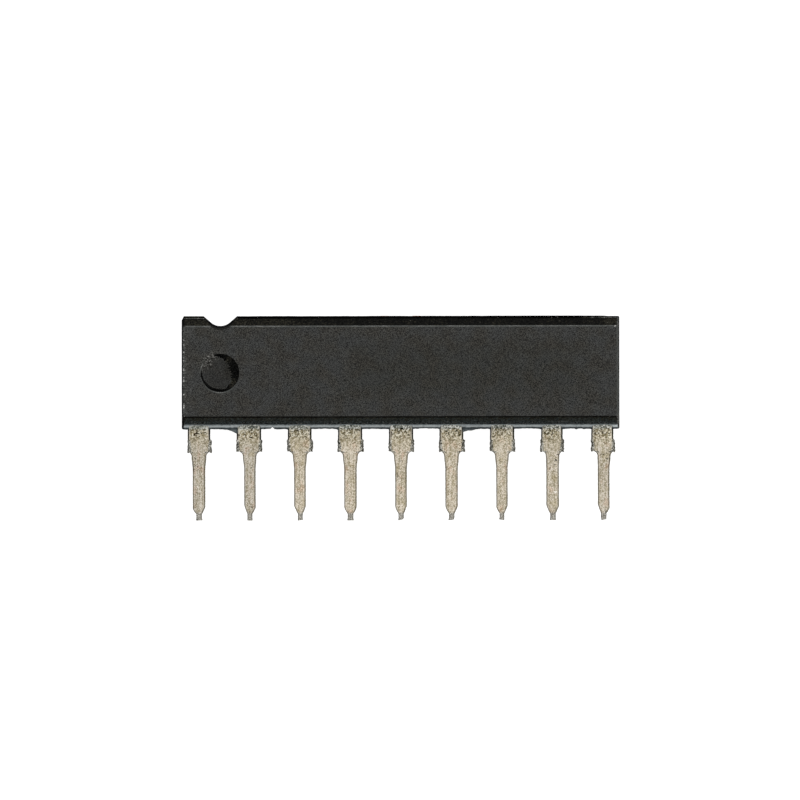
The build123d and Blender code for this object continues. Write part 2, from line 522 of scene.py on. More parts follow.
@dataclass(frozen=True)
class PolishedMouldEpoxy(Finish):
    """Epoxy moulding compound against a polished, drafted mould wall.

    The drafted walls release against polished steel, so they come out nearly black
    with a low gloss, faint draw lines along the ejection direction and dust specks.
    Resin bled from the flash greys them towards the leads and at the row's ends. Their
    tones also paint light and shade: the right end wall pale, as lit from the right, the
    left end wall and the lower flank next to the face dark, as in shade, and the
    dimple's wall near black, as the recess's shade.
    """

    name: str = "polished_mould_epoxy"
    relief_strength: float = 0.25
    relief_mm: float = 0.002
    scale: tuple[tuple[float, str], ...] = (
        (0.0, "#040404"),
        (0.35, "#131312"),
        (0.5, "#2a2821"),
        (0.65, "#2f312d"),
        (0.78, "#2d3436"),
        (0.84, "#484947"),
        (1.0, "#545452"),
        (1.25, "#7d7b76"),
    )
    speck: str = "#77746c"
    cloud_mm: float = 0.09
    cloud_swing: float = 0.8
    cloud_stretch: tuple[float, float, float] = (1.0, 1.0, 0.3)  # longer along the draw
    mottle_mm: float = 0.07  # filler grains at the skin, drawn coarser so that they show
    draw_mm: float = 0.06  # spacing of the draw lines, drawn coarser so that they show
    draw_stretch: tuple[float, float, float] = (1.0, 1.0, 0.15)
    speck_mm: float = 0.10
    speck_share: float = 0.006
    gloss: float = 0.015
    roughness: float = 0.3

    def build(self) -> bpy.types.Material:
        """The scale of tones, clouded and mottled, with draw lines, dust and thin gloss.

        Returns:
            The material.
        """
        material, tree, place = self.start()
        smeared = add_node(tree, "Mapping", {"Vector": place, "Scale": self.cloud_stretch})
        cloud = add_node(
            tree, "TexNoise", {"Vector": smeared, "Scale": 1 / self.cloud_mm, "Detail": 3.0}
        )
        ground = tones(tree, clouded_tone(tree, cloud, self.cloud_swing), *self.scale)
        filler = add_node(tree, "TexNoise", {"Vector": place, "Scale": 1 / self.mottle_mm})
        mottle = add_node(
            tree, "MapRange",
            {"Value": filler, "From Min": 0.37, "From Max": 0.63, "To Min": 0.05, "To Max": 1.95},
            "Result",
        )
        ground = lay(tree, ground, (1.0, mottle), blend="MULTIPLY")
        dust = specks(tree, place, self.speck_mm, self.speck_share)
        drawn = add_node(tree, "Mapping", {"Vector": place, "Scale": self.draw_stretch})
        lines = add_node(
            tree, "TexNoise", {"Vector": drawn, "Scale": 1 / self.draw_mm, "Detail": 2.0}
        )
        surface = {
            "Base Color": lay(tree, ground, (dust, self.speck)),
            "Roughness": self.roughness,
            "Specular IOR Level": 0.0,
            "Coat Weight": self.gloss,
            "Coat Roughness": self.roughness,
        }
        self.close(tree, lines, surface)
        return material


@dataclass(frozen=True)
class ResinFlash(Finish):
    """Thin flash of epoxy between the leads, with resin bled out of it.

    The resin that bleeds out carries little pigment, so the flash is a cold pale grey
    with a dark broken edge, where the compound beside it is black.
    """

    name: str = "resin_flash"
    scale: tuple[tuple[float, str], ...] = (
        (0.0, "#202628"),
        (0.4, "#4b5355"),
        (0.7, "#8b9395"),
        (1.0, "#c6cdce"),
    )
    patch_mm: float = 0.12  # width of a patch of bled resin
    patch_swing: float = 0.7
    roughness: float = 0.45
    specular: float = 0.25

    def build(self) -> bpy.types.Material:
        """The scale of tones, broken into patches.

        Returns:
            The material.
        """
        material, tree, place = self.start()
        patch = add_node(
            tree, "TexNoise",
            {"Vector": place, "Scale": 1 / self.patch_mm, "Detail": 3.0, "Roughness": 0.6},
        )
        surface = {
            "Base Color": tones(tree, clouded_tone(tree, patch, self.patch_swing), *self.scale),
            "Roughness": self.roughness,
            "Specular IOR Level": self.specular,
        }
        self.close(tree, patch, surface)
        return material


@dataclass(frozen=True)
class MatteTinPlate(Finish):
    """Matte electroplated tin over a stamped copper alloy lead.

    Matte tin is a warm dull grey with a fine crystal grain, painted a shade darker
    towards its stamped edges, as shade where the strip rolls over. The edges are painted
    dark as shade, with a burnished line inside. Forming and the cut dam bar have scuffed
    the shoulder to light and dark flecks, resin greys the root beside the body, and the
    sheared tip shows bare grey metal. Pits and flux stains gather in places, and bright
    worn specks that are painted white as glints.

    Each set of three colours is a dark, a middle and a light fleck.
    """

    name: str = "matte_tin_plate"
    relief_mm: float = 0.005
    tin: tuple[str, str, str] = ("#a2977d", "#cdc2ab", "#eee5d6")
    scuffed: tuple[str, str, str] = ("#5d563d", "#beb190", "#fbf5e3")
    greyed: tuple[str, str, str] = ("#5c6159", "#b0b3a8", "#fffff8")
    sheared: tuple[str, str, str] = ("#524f48", "#a29e94", "#dcd9d0")
    torn: tuple[str, str, str] = ("#20211b", "#66655a", "#e4e1d6")
    tints: tuple[tuple[float, str], ...] = (
        (0.34, "#fbf0ea"),
        (0.45, "#ffffff"),
        (0.55, "#ffffff"),
        (0.68, "#efece0"),
    )
    pit_brown: str = "#33241a"
    pit_green: str = "#23261b"
    glint: str = "#fffaf0"
    # Painted shade along the stamped edges and down their sides.
    edge: str = "#1f1d14"
    burnish: str = "#f2ecdf"
    film: str = "#f0f2f5"
    grain_mm: float = 0.03  # tin crystals, drawn many times coarser so that they show
    grain_stretch: tuple[float, float, float] = (1.0, 0.7, 1.0)  # rolled along the lead
    scuff_mm: float = 0.06  # chips of the rubbed shoulder
    streak_mm: float = 0.06  # rolling streaks of the strip
    streak_stretch: tuple[float, float, float] = (1.0, 0.04, 1.0)
    cloud_mm: float = 0.4  # spacing of the warm and greenish clouds
    roughness: float = 0.62
    metallic: float = 0.8
    specular: float = 0.02  # oxide and dirt on the sheared edges hardly shine
    root_y: float = -2.90  # where the resin's grey begins
    stub_top_y: float = -3.45  # top of the cut dam bar's stubs
    seat_y: float = -4.03  # underside of the shoulder
    neck_y: float = -7.14  # where the sheared tip begins

    def flecks(
        self, tree: Tree, grain: Socket, shades: tuple[str, str, str], reach: float = 0.14
    ) -> Colour:
        """Dark, middle and light flecks of one zone; a short reach makes them harsh."""
        return tones(
            tree, grain, (0.5 - reach, shades[0]), (0.5, shades[1]), (0.5 + reach, shades[2])
        )

    def patterns(
        self, tree: Tree, place: Socket, scuff: Socket, from_edge: Socket
    ) -> tuple[Socket, Socket, Socket]:
        """Crystals drawn along the pin, chips on the scuffed shoulder, and clouds.

        Args:
            tree: Where the nodes go.
            place: Coordinates in millimetres.
            scuff: Rises to 1 on the scuffed shoulder.
            from_edge: Distance from the nearest stamped edge.

        Returns:
            The grain of the worn zones, the fibre of the plain tin, and the clouds.
        """
        long_ways = add_node(tree, "Mapping", {"Vector": place, "Scale": self.grain_stretch})
        ribbons = add_node(tree, "Mapping", {"Vector": place, "Scale": self.streak_stretch})
        drawn, cloud, streaks = (
            add_node(tree, "TexNoise", {"Vector": vector, "Scale": 1 / size, "Detail": detail})
            for vector, size, detail in (
                (long_ways, self.grain_mm, 1.0),
                (long_ways, self.cloud_mm, 3.0),
                (ribbons, self.streak_mm, 1.0),
            )
        )
        chip = add_node(tree, "TexVoronoi", {"Vector": place, "Scale": 1 / self.scuff_mm}, "Color")
        chip = add_node(tree, "SeparateColor", {"Color": chip}, "Red")
        chip = add_node(tree, "MapRange", {"Value": chip, "To Min": 0.31, "To Max": 0.69}, "Result")
        grain = add_node(tree, "Mix", {0: scuff, 2: drawn, 3: chip}, 0)

        # In the plain tin, streaks and chips join the grain, and it is painted darker towards the
        # edges, as shade where the strip rolls over.
        fibre = add_node(tree, "Math", {0: streaks, 1: 0.5, 2: grain}, operation="MULTIPLY_ADD")
        fibre = add_node(tree, "Math", {0: chip, 1: 0.6, 2: fibre}, operation="MULTIPLY_ADD")
        rolled = add_node(
            tree, "MapRange",
            {"Value": from_edge, "From Min": 0.04, "From Max": 0.2, "To Min": 0.57, "To Max": 0.53},
            "Result",
        )
        fibre = add_node(tree, "Math", {0: fibre, 1: rolled}, operation="SUBTRACT")
        return grain, fibre, cloud

    def edges(
        self, tree: Tree, y: Socket, from_edge: Socket, grain: Socket, in_tip: Socket
    ) -> tuple[Socket, Socket, Socket]:
        """Torn stubs, the burnished line, and the dark edge outside it, which is painted shade.

        Args:
            tree: Where the nodes go.
            y: Height along the lead.
            from_edge: Distance from the nearest stamped edge.
            grain: What makes the lines ragged.
            in_tip: Rises to 1 on the sheared tip.

        Returns:
            How much of the torn stub, of the burnished line and of the painted shade of the dark
            edge shows.
        """
        stub_top, seat = self.stub_top_y, self.seat_y
        ragged = add_node(
            tree, "Math", {0: grain, 1: -0.10, 2: from_edge}, operation="MULTIPLY_ADD"
        )
        in_stub = ramps(tree, (y, seat - 0.10, seat - 0.06), (y, stub_top + 0.03, stub_top - 0.03))
        drop = ramps(tree, (y, stub_top, seat))
        wing = add_node(tree, "Math", {0: drop, 1: -0.07, 2: ragged}, operation="MULTIPLY_ADD")
        wing = ramps(tree, (wing, 0.10, 0.05), (in_stub, 0.0, 1.0))
        above_seat = ramps(tree, (y, seat - 0.06, seat + 0.02))
        bright = ramps(
            tree,
            (ragged, 0.01, 0.03),
            (ragged, 0.08, 0.05),
            (above_seat, -0.4, 2.2),
            (wing, 1.0, 0.0),
        )
        # The dark edge is painted shade along the stamped edges, weaker down their sides.
        on_front = ramps(tree, (from_edge, -0.12, -0.02))
        dark = ramps(
            tree,
            (ragged, 0.03, 0.0),
            (above_seat, -1.1, 0.7),
            (in_stub, 2.9, 0.0),
            (in_tip, 2.0, 0.0),
            (on_front, -1.0, 1.0),
        )
        return wing, bright, dark

    def build(self) -> bpy.types.Material:
        """Lays zone over zone along the lead, then its edges, over a rough metal.

        Returns:
            The material.
        """
        material, tree, place = self.start()
        root, neck = self.root_y, self.neck_y
        y = add_node(tree, "SeparateXYZ", {"Vector": place}, "Y")
        from_edge, crowd, tarnish = (
            add_node(tree, "Attribute", {}, "Fac", attribute_name=mark)
            for mark in (FROM_EDGE, STAIN, TARNISH)
        )
        scuff = ramps(tree, (y, self.stub_top_y - 0.5, root - 0.25))
        in_tip = ramps(tree, (y, neck + 0.08, neck - 0.06))
        grain, fibre, cloud = self.patterns(tree, place, scuff, from_edge)
        wing, bright, dark = self.edges(tree, y, from_edge, grain, in_tip)

        # The plain tin, under the scuffed shoulder, the sheared tip and the greyed root.
        tint = tones(tree, cloud, *self.tints)
        colour = self.flecks(tree, fibre, self.tin)
        colour = lay(tree, colour, (1.0, tint), (tarnish, self.film), blend="MULTIPLY")
        ragged_y = add_node(tree, "Math", {0: grain, 1: 0.25, 2: y}, operation="MULTIPLY_ADD")
        in_root = ramps(tree, (ragged_y, root + 0.05, root + 0.16))
        colour = lay(
            tree, colour,
            (scuff, self.flecks(tree, grain, self.scuffed)),
            (in_tip, self.flecks(tree, grain, self.sheared)),
            (in_root, self.flecks(tree, grain, self.greyed, 0.16)),
        )

        # Stains: pits where they crowd together, and where the mark is below 0 bright worn specks,
        # painted white as glints. Over them the torn stubs, the burnished line and the dark edge,
        # painted shade.
        level = add_node(tree, "Math", {0: crowd, 1: -0.25, 2: grain}, operation="MULTIPLY_ADD")
        pitted = ramps(tree, (level, 0.28, 0.2))
        bare = ramps(tree, (level, 0.70, 0.80))
        colour = lay(
            tree, colour,
            (wing, self.flecks(tree, grain, self.torn, 0.10)),
            (bright, self.burnish),
            (dark, self.edge),
            (pitted, tones(tree, cloud, (0.45, self.pit_brown), (0.55, self.pit_green))),
            (bare, self.glint),
        )
        dull = dark
        for cover, weight in ((wing, 0.8), (pitted, 0.7), (bare, 1.0)):
            cover = add_node(tree, "Math", {0: cover, 1: weight}, operation="MULTIPLY")
            dull = add_node(tree, "Math", {0: dull, 1: cover}, operation="MAXIMUM")
        surface = {
            "Base Color": colour,
            "Metallic": add_node(
                tree, "MapRange", {"Value": dull, "To Min": self.metallic, "To Max": 0.0}, "Result"
            ),
            "Roughness": self.roughness,
            "Specular IOR Level": self.specular,
        }
        self.close(tree, grain, surface)
        return material


@dataclass(frozen=True)
class SealedFinish(Finish):
    """A plain finish of a piece sealed inside the body: a metal, silicon or adhesive."""

    relief_strength: float = 0.2
    relief_mm: float = 0.002
    light: str = "#ffffff"
    dark: str = "#000000"
    grain_mm: float = 0.1
    metallic: float = 0.0
    roughness: float = 0.5

    def build(self) -> bpy.types.Material:
        """Two close tones over a grain of the finish's own size.

        Returns:
            The material.
        """
        material, tree, place = self.start()
        grain = add_node(
            tree, "TexNoise", {"Vector": place, "Scale": 1 / self.grain_mm, "Detail": 3.0}
        )
        surface = {
            "Base Color": tones(tree, grain, (0.3, self.dark), (0.7, self.light)),
            "Metallic": self.metallic,
            "Roughness": self.roughness,
        }
        self.close(tree, grain, surface)
        return material


# ---- Moulded body ----------------------------------------------------------------------
class BodyFinish(Enum):
    """Finish number of each kind of surface on the moulded body."""

    FACE = 0
    WALL = 1
    FLASH = 2


class BodySide(Enum):
    """Stretch of the body's outline, going round from the lower left corner."""

    LOWER = 0
    RIGHT = 1
    UPPER = 2
    NOTCH = 3
    LEFT = 4


@dataclass(frozen=True)
class WebFillet:
    """Flash that creeps down the side of a lead."""

    lead: int
    side: int  # -1 is the lead's left, 1 its right
    reach: float  # how far along the edge it fades out
    drop: float  # how much deeper it is beside the lead


@dataclass(frozen=True)
class WebMark:
    """A tag or a nick in the edge of the flash web."""

    lead: int
    offset: float  # where its middle is, from the lead's middle
    reach: float  # how far along the edge it fades out
    drop: float  # above 0 for a tag and below 0 for a nick


@dataclass
class Station:
    """One level of the body's outer surface, as offsets from the parting outline."""

    z: float
    rise: float = 0.0  # share of the way from the parting line to the face
    flank_inset: float = 0.0  # how far the lower and the upper flank stand in
    end_inset: float = 0.0  # how far both ends stand in
    growth: float = 0.0  # what the notch's root radius gains
    flash: float = 0.0  # share of the full flash
    trim: float = 0.0  # how far the whole outline stands in round the band's edge
    lift: float = 0.0  # what z gains at the upper edge and loses at the lower one


def column(stations: list[Station], name: str) -> Array:
    """One number of every station, as a column."""
    return np.array([getattr(s, name) for s in stations])[:, None]


@dataclass
class MouldedBody:
    """The epoxy body: two drafted halves, the parting band, the notch and the marks."""

    parting_length: float = 21.92
    parting_height: float = 5.38
    face_height: float = 4.53
    end_run: float = 0.045
    corner_radius: float = 0.08
    flash_break: tuple[float, float] = (0.12, 0.22)  # broken off the upper left corner
    rim_radius: float = 0.04
    band_edge_radius: float = 0.03
    band_sink: float = 0.012  # below the lead frame's faces by the leads, past them above
    mark_from_end: float = 1.90  # notch, dimple and ejector marks
    notch_shift: float = 0.01
    notch_root_radius: float = 0.73
    notch_depth: float = 0.50
    notch_half_angle: float = 49.0
    notch_draft: float = 5.5
    dimple_radius: float = 0.965
    dimple_drop: float = 0.09
    ejector_radius: float = 0.95
    ejector_depth: float = 0.05
    lead_half: float = 0.60
    edge_steps: int = 441  # points along the lower edge
    right_steps: int = 81
    upper_steps: tuple[int, int, int] = (111, 91, 25)  # to the middle, notch and corner
    notch_steps: int = 57
    left_steps: int = 121
    corner_steps: int = 9
    wall_steps: int = 17
    seam_steps: int = 41  # points up the middle of the back face
    web_fillets: tuple[WebFillet, ...] = (
        WebFillet(lead=2, side=-1, reach=0.33, drop=0.22),
        WebFillet(lead=4, side=-1, reach=0.08, drop=0.06),
        WebFillet(lead=6, side=1, reach=0.30, drop=0.14),
    )
    web_marks: tuple[WebMark, ...] = (
        WebMark(lead=2, offset=1.18, reach=0.06, drop=-0.10),
        WebMark(lead=6, offset=1.00, reach=0.16, drop=0.06),
        WebMark(lead=8, offset=1.20, reach=0.05, drop=0.05),
        WebMark(lead=9, offset=-0.95, reach=0.06, drop=0.02),
        WebMark(lead=3, offset=1.30, reach=0.30, drop=-0.015),
        WebMark(lead=5, offset=1.27, reach=0.40, drop=-0.02),
        WebMark(lead=7, offset=1.27, reach=0.45, drop=-0.02),
    )
    low: Array = field(init=False)
    high: Array = field(init=False)
    frame_back: float = field(init=False)
    frame_front: float = field(init=False)
    mark_x: float = field(init=False)

    def __post_init__(self) -> None:
        """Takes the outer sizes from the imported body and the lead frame's from a lead."""
        self.low, self.high = box_mm("moulded_body")
        lead_low, lead_high = box_mm("lead_1")
        self.frame_back, self.frame_front = lead_low[2], lead_high[2]
        self.mark_x = -self.parting_length / 2 + self.mark_from_end

    # -- the outline at each level
    def web_depth(self, x: Array) -> Array:
        """Depth of the flash web below the parting edge.

        Two wandering lines over a base, a rise at each lead that fades as e to the
        power of -distance / 0.05, fillets that fade as e to the power of
        -(distance / reach)^1.5, and bells for the marks.

        Args:
            x: Places along the lower edge.

        Returns:
            The depth at each place.
        """
        depth = -self.low[1] - self.parting_height / 2 + 0.020
        depth = depth + wander(x, 0.11, 0.012, 11) + wander(x, 0.7, 0.008, 12)
        for number in range(1, LEAD_COUNT + 1):
            away = np.abs(x - lead_x(number)) - self.lead_half
            depth = depth + 0.02 * np.exp(-np.maximum(away, 0) / 0.05)
        for creep in self.web_fillets:
            away = (x - lead_x(creep.lead)) * creep.side - self.lead_half
            inside = ease(-self.lead_half, -self.lead_half + 0.2, away)
            fall = np.exp(-((np.maximum(away, 0) / creep.reach) ** 1.5))
            depth = depth + creep.drop * fall * inside
        for mark in self.web_marks:
            depth = depth + mark.drop * hump(x, lead_x(mark.lead) + mark.offset, mark.reach)
        return depth

    def top_flash(self, x: Array) -> Array:
        """Height of the trimmed flash above the parting edge.

        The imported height, less two wandering lines that fade out where the trim is
        clean, and a step down at the right end.

        Args:
            x: Places along the upper edge.

        Returns:
            The height at each place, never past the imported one.
        """
        full = self.high[1] - self.parting_height / 2
        rough = np.abs(wander(x, 0.12, 0.006, 21)) + np.abs(wander(x, 0.9, 0.008, 22))
        smooth = np.maximum(hump(x, 7.0, 2.0), 0.6 * ease(-9.6, -9.9, x))
        return full - 0.001 - rough * (1 - smooth) - 0.02 * ease(10.2, 10.4, x)

    def outlines(self, stations: list[Station]) -> tuple[Array, Array]:
        """Closed outline at every station.

        The outline is a rectangle with rounded corners. The notch cuts its upper edge
        with an arc of the root radius and two straight flanks tangent to it; its
        points are evenly spaced along that line. Offsets move each stretch outwards.

        Args:
            stations: The levels, from the back face to the front face.

        Returns:
            Points, stations by columns by xyz, going round from the lower left corner
            to the right, and the side that each column belongs to.
        """
        flash, trim, lift, level, end_inset, flank_inset = (
            column(stations, name)
            for name in ("flash", "trim", "lift", "z", "end_inset", "flank_inset")
        )
        half_x = self.parting_length / 2 - end_inset - trim
        half_y = self.parting_height / 2 - flank_inset - trim
        right = half_x + flash * (self.high[0] - self.parting_length / 2)
        radius = np.full_like(right, self.corner_radius)
        turn = self.corner_turn()
        sine, cosine = radius * np.sin(turn), radius * np.cos(turn)

        bottom_x = np.linspace(-1, 1, self.edge_steps)[None, :] * (right - radius)
        bottom_y = -half_y - flash * self.web_depth(bottom_x)
        low_left, low_y = bottom_y[:, :1] + radius, bottom_y[:, -1:] + radius
        top_right = half_y + flash * self.top_flash(right - radius)
        climb = np.linspace(0, 1, self.right_steps)[None, :]
        side_y = low_y + climb * (top_right - radius - low_y)
        side_x = right - flash * np.abs(wander(side_y, 0.14, 0.004, 31))

        notch_x, notch_y, mouth = self.notch_line(stations, half_y)
        middle_steps, mouth_steps, _ = self.upper_steps
        to_middle = (right - radius) * np.linspace(1, 0, middle_steps)[None, :]
        to_notch = (self.mark_x + mouth) * np.linspace(0, 1, mouth_steps)[None, 1:-1]
        top_x = np.concatenate([to_middle, to_notch], axis=1)
        top_y = half_y + flash * self.top_flash(top_x)

        stretches = [
            (BodySide.LOWER, bottom_x, bottom_y),
            (BodySide.RIGHT, right - radius + sine, low_y - cosine),
            (BodySide.RIGHT, side_x, side_y),
            (BodySide.RIGHT, right - radius + cosine, top_right - radius + sine),
            (BodySide.UPPER, top_x, top_y),
            (BodySide.NOTCH, notch_x, notch_y),
            *self.broken_end(flash, right, half_y, self.mark_x - mouth, low_left),
            (BodySide.LEFT, radius - cosine - right, low_left - sine),
        ]
        x = np.concatenate([s[1] for s in stretches], axis=1)
        y = np.concatenate([s[2] for s in stretches], axis=1)
        side = np.concatenate([np.full(s[1].shape[1], s[0].value) for s in stretches])
        above = 2 * ease(-1.0, 1.0, y) - 1
        return np.stack([x, y, level + lift * above], axis=-1), side

    def corner_turn(self) -> Array:
        """Angles of the points inside a corner's quarter turn, as a row."""
        return np.linspace(0, np.pi / 2, self.corner_steps)[None, 1:-1]

    def broken_end(
        self, flash: Array, right: Array, half_y: Array, mouth_x: Array, low_left: Array
    ) -> list[tuple[BodySide, Array, Array]]:
        """Upper edge past the notch, the corner where the flash broke off, and the left end.

        The corner is a weighted mean of a quarter ellipse and of its chord, nearly all
        chord where the flash is full.

        Args:
            flash: Share of the full flash at each level.
            right: Half length of the outline.
            half_y: Height of the upper edge without its flash.
            mouth_x: Left mouth of the notch, as far from the mark as its right one.
            low_left: Where the left end stops.

        Returns:
            Side, x and y of the three stretches.
        """
        broken = 0.5 + 0.5 * flash
        run, drop = (
            self.corner_radius + broken * (size - self.corner_radius) for size in self.flash_break
        )
        left_x = mouth_x + 2 * self.notch_shift
        onward = np.linspace(0, 1, self.upper_steps[2])[None, 1:]
        after_x = left_x + (-right + run - left_x) * onward
        after_y = half_y + flash * self.top_flash(after_x)

        turn = self.corner_turn()
        ellipse = 1 - 0.9 * broken
        round_x = (1 - np.sin(turn)) * ellipse + (1 - turn * 2 / np.pi) * (1 - ellipse)
        round_y = (1 - np.cos(turn)) * ellipse + turn * 2 / np.pi * (1 - ellipse)
        fall_y = after_y[:, -1:] - drop
        fall_y = fall_y + np.linspace(0, 1, self.left_steps)[None, :] * (low_left - fall_y)
        fall_x = -right + flash * np.abs(wander(fall_y, 0.14, 0.004, 32))
        return [
            (BodySide.UPPER, after_x, after_y),
            (BodySide.LEFT, -right + run * round_x, after_y[:, -1:] - drop * round_y),
            (BodySide.LEFT, fall_x, fall_y),
        ]

    def notch_line(self, stations: list[Station], half_y: Array) -> tuple[Array, Array, Array]:
        """The notch at each level, evenly spaced from its right mouth to its left one.

        Args:
            stations: The levels.
            half_y: Height of the upper edge without its flash, at each level.

        Returns:
            x, y and half the width of the mouth.
        """
        growth, flash = column(stations, "growth"), column(stations, "flash")
        centre_y = self.high[1] - self.notch_depth + self.notch_root_radius
        radius = self.notch_root_radius + growth
        bend = math.radians(90 - self.notch_half_angle)
        edge_y = half_y + flash * self.top_flash(np.full_like(half_y, self.mark_x + 0.8))
        bend_y = centre_y - radius * math.cos(bend)
        arc_angle = np.arccos(np.clip((centre_y - edge_y) / radius, -1, 1))
        run = np.where(
            edge_y < bend_y,
            radius * np.minimum(arc_angle, bend),
            radius * bend + (edge_y - bend_y) / math.sin(bend),
        )
        along = run * np.linspace(1, -1, self.notch_steps)[None, :]
        angle = np.minimum(np.abs(along) / radius, bend)
        beyond = np.maximum(np.abs(along) - radius * bend, 0)
        x = np.sign(along) * (radius * np.sin(angle) + beyond * math.cos(bend))
        y = centre_y - radius * np.cos(angle) + beyond * math.sin(bend)
        return self.mark_x + self.notch_shift + x, y, x[:, :1] + self.notch_shift

    def half_stations(self, front: bool) -> list[Station]:
        """Levels of one half from its face to the parting line.

        The wall follows its draft line up to a rim arc of the rim radius, which is
        tangent to the wall and to the face.

        Args:
            front: True for the front half.

        Returns:
            The levels, from the face to the parting line.
        """
        face_z = self.high[2] if front else 0.0
        base_z = self.frame_front if front else self.frame_back
        height = abs(face_z - base_z)
        rim = self.rim_radius
        rim_angles = np.radians([90, 78, 64, 50, 36, 22, 8])  # 90 on the face, 0 on a wall
        rise = np.concatenate(
            [
                height - rim + rim * np.sin(rim_angles),
                np.linspace(height - 2 * rim, 0.0, self.wall_steps),
            ]
        )

        def inset(run: float) -> Array:
            """How far the wall stands in at each level, up its draft and round its rim.

            Args:
                run: How far the draft carries it in, from the parting line to the face.

            Returns:
                run * rise / height, and past the touching point the distance of the arc.
            """
            slope = math.atan2(run, height)
            touch = height - rim + rim * math.sin(slope)
            centre = run * touch / height + rim * math.cos(slope)
            arc = centre - np.sqrt(np.maximum(rim**2 - (rise - height + rim) ** 2, 0))
            return np.where(rise > touch, arc, run * rise / height)

        flank = inset((self.parting_height - self.face_height) / 2)
        end, rounding = inset(self.end_run), inset(TOUCH_MM)
        growth = rise * math.sin(math.radians(self.notch_draft)) + rounding
        sign = 1 if front else -1
        return [
            Station(base_z + sign * r, r / height, f, e, g)
            for r, f, e, g in zip(rise, flank, end, growth)
        ]

    def band_stations(self) -> list[Station]:
        """Levels of the parting band.

        Returns:
            The levels, from its back ledge round its rounded edge to its front ledge.
        """
        radius, sink = self.band_edge_radius, self.band_sink
        front, back = self.frame_front, self.frame_back
        ledge = (0.12, 0.26, 0.40, 0.54, 0.68, 0.78, 0.86, 0.93)  # shares of the full flash
        stations = [Station(back, flash=f, lift=-sink * min(1, 3 * f)) for f in ledge]
        for angle in np.radians([0, 25, 50, 75, 90]):
            trim = radius * (1 - math.sin(angle))
            z = back + radius * (1 - math.cos(angle))
            stations.append(Station(z, flash=1, trim=trim, lift=-sink))
        mirrored = [
            Station(back + front - s.z, flash=s.flash, trim=s.trim, lift=-s.lift)
            for s in reversed(stations)
        ]
        return stations + mirrored

    # -- what the surfaces look like
    def wall_tone(self, shell: Array, side: Array, rise: Array) -> Array:
        """Tone of the polished walls, by side, by height and towards the ends.

        The lower flank is painted darker next to the face, as shade along the face's lower
        edge; the right end is painted pale, as lit from the right, and the left end dark, as
        in shade, paler towards the face.

        Args:
            shell: Points of the walls.
            side: Side of each column.
            rise: Share of the way from the parting line to the face, for each row.

        Returns:
            The tone at each point.
        """
        x, y = shell[..., 0], shell[..., 1]
        rise = rise[:, None]
        # The lower flank is painted darker next to the face, as shade along its lower edge.
        lower = 0.78 - 0.14 * ease(0.15, 0.6, rise) - 0.34 * ease(0.74, 0.84, rise)
        streak = 0.10 * ease(-3.8, -5.8, x) + 0.12 * ease(10.0, 10.4, x)
        upper = 0.02 + (0.29 + streak + wander(x, 0.5, 0.04, 41)) * ease(0.02, 0.22, rise)
        before_notch = ease(self.mark_x - 0.7, self.mark_x - 0.8, x)
        before_end = 1.1 * ease(8.8, 9.8, x) * (1 + wander(x, 0.12, 0.3, 42))
        pale_line = 1.7 * hump(rise, 0.09, 0.035) - 0.3 * hump(rise, 0.2, 0.05)
        lines = before_notch * pale_line + before_end * hump(rise, 0.03, 0.06)
        in_front = shell[..., 2] > self.frame_front - TOUCH_MM
        upper = upper + 0.02 * before_notch + lines * in_front
        # The right end is painted pale, as lit from the right; the left end is painted dark, as in
        # shade, paler towards the face.
        right = 0.92 + 0.14 * ease(-2.0, -2.3, y)
        left = 0.1 + 0.6 * ease(0.75, 0.95, rise) * (1 + wander(y, 0.08, 0.6, 43))
        return by_side(side, lower, right, upper, 0.0, left)

    def flash_tone(self, shell: Array, side: Array, flash: Array) -> Array:
        """Tone of the parting band, by side and by how far out its flash reaches.

        Args:
            shell: Points of the band.
            side: Side of each column.
            flash: Share of the full flash, for each row.

        Returns:
            The tone at each point.
        """
        x, flash = shell[..., 0], flash[:, None]
        depth = -shell[..., 1] - self.parting_height / 2
        lower = 0.35 + 0.65 * ease(0.01, 0.06, depth) - 0.75 * ease(0.125, 0.165, depth)
        lower = lower + 0.3 * ease(0.2, 0.3, depth) - 0.3 * ease(0.9, 0.98, flash)
        lower = lower + wander(x, 0.2, 0.08, 44)
        above = ease(self.frame_back + 0.1, self.frame_front - 0.05, shell[..., 2])
        upper = ease(self.mark_x - 0.6, self.mark_x - 0.9, x) * above
        upper = upper * (0.5 + 0.2 * ease(0.5, 0.9, flash))
        upper = upper + (0.7 - 0.4 * ease(0.1, 0.5, flash)) * ease(8.8, 9.8, x)
        # At the ends the band is painted pale on the right, as lit from the right, and dark on the
        # left, as in shade.
        return by_side(side, lower, 0.85, upper, 0.0, 0.15)

    def rim_light_and_shade(self, shell: Array, side: Array) -> Array:
        """Painted highlight along the upper edge and both ends, and painted shade round the notch.

        Args:
            shell: Points of the walls.
            side: Side of each column.

        Returns:
            The mark at each point.
        """
        x, y = shell[..., 0], shell[..., 1]
        upper = 1.0 + wander(x, 0.3, 0.12, 45) - 0.05 * ease(-9, -10, x)
        upper = upper + hump(x, self.parting_length / 2 - 0.16, 0.03)
        left = 0.85 + wander(y, 0.045, 1.4, 46)
        right = 0.6 + wander(y, 0.1, 0.2, 47)
        return by_side(side, 0.1, right, upper, -0.8, left)

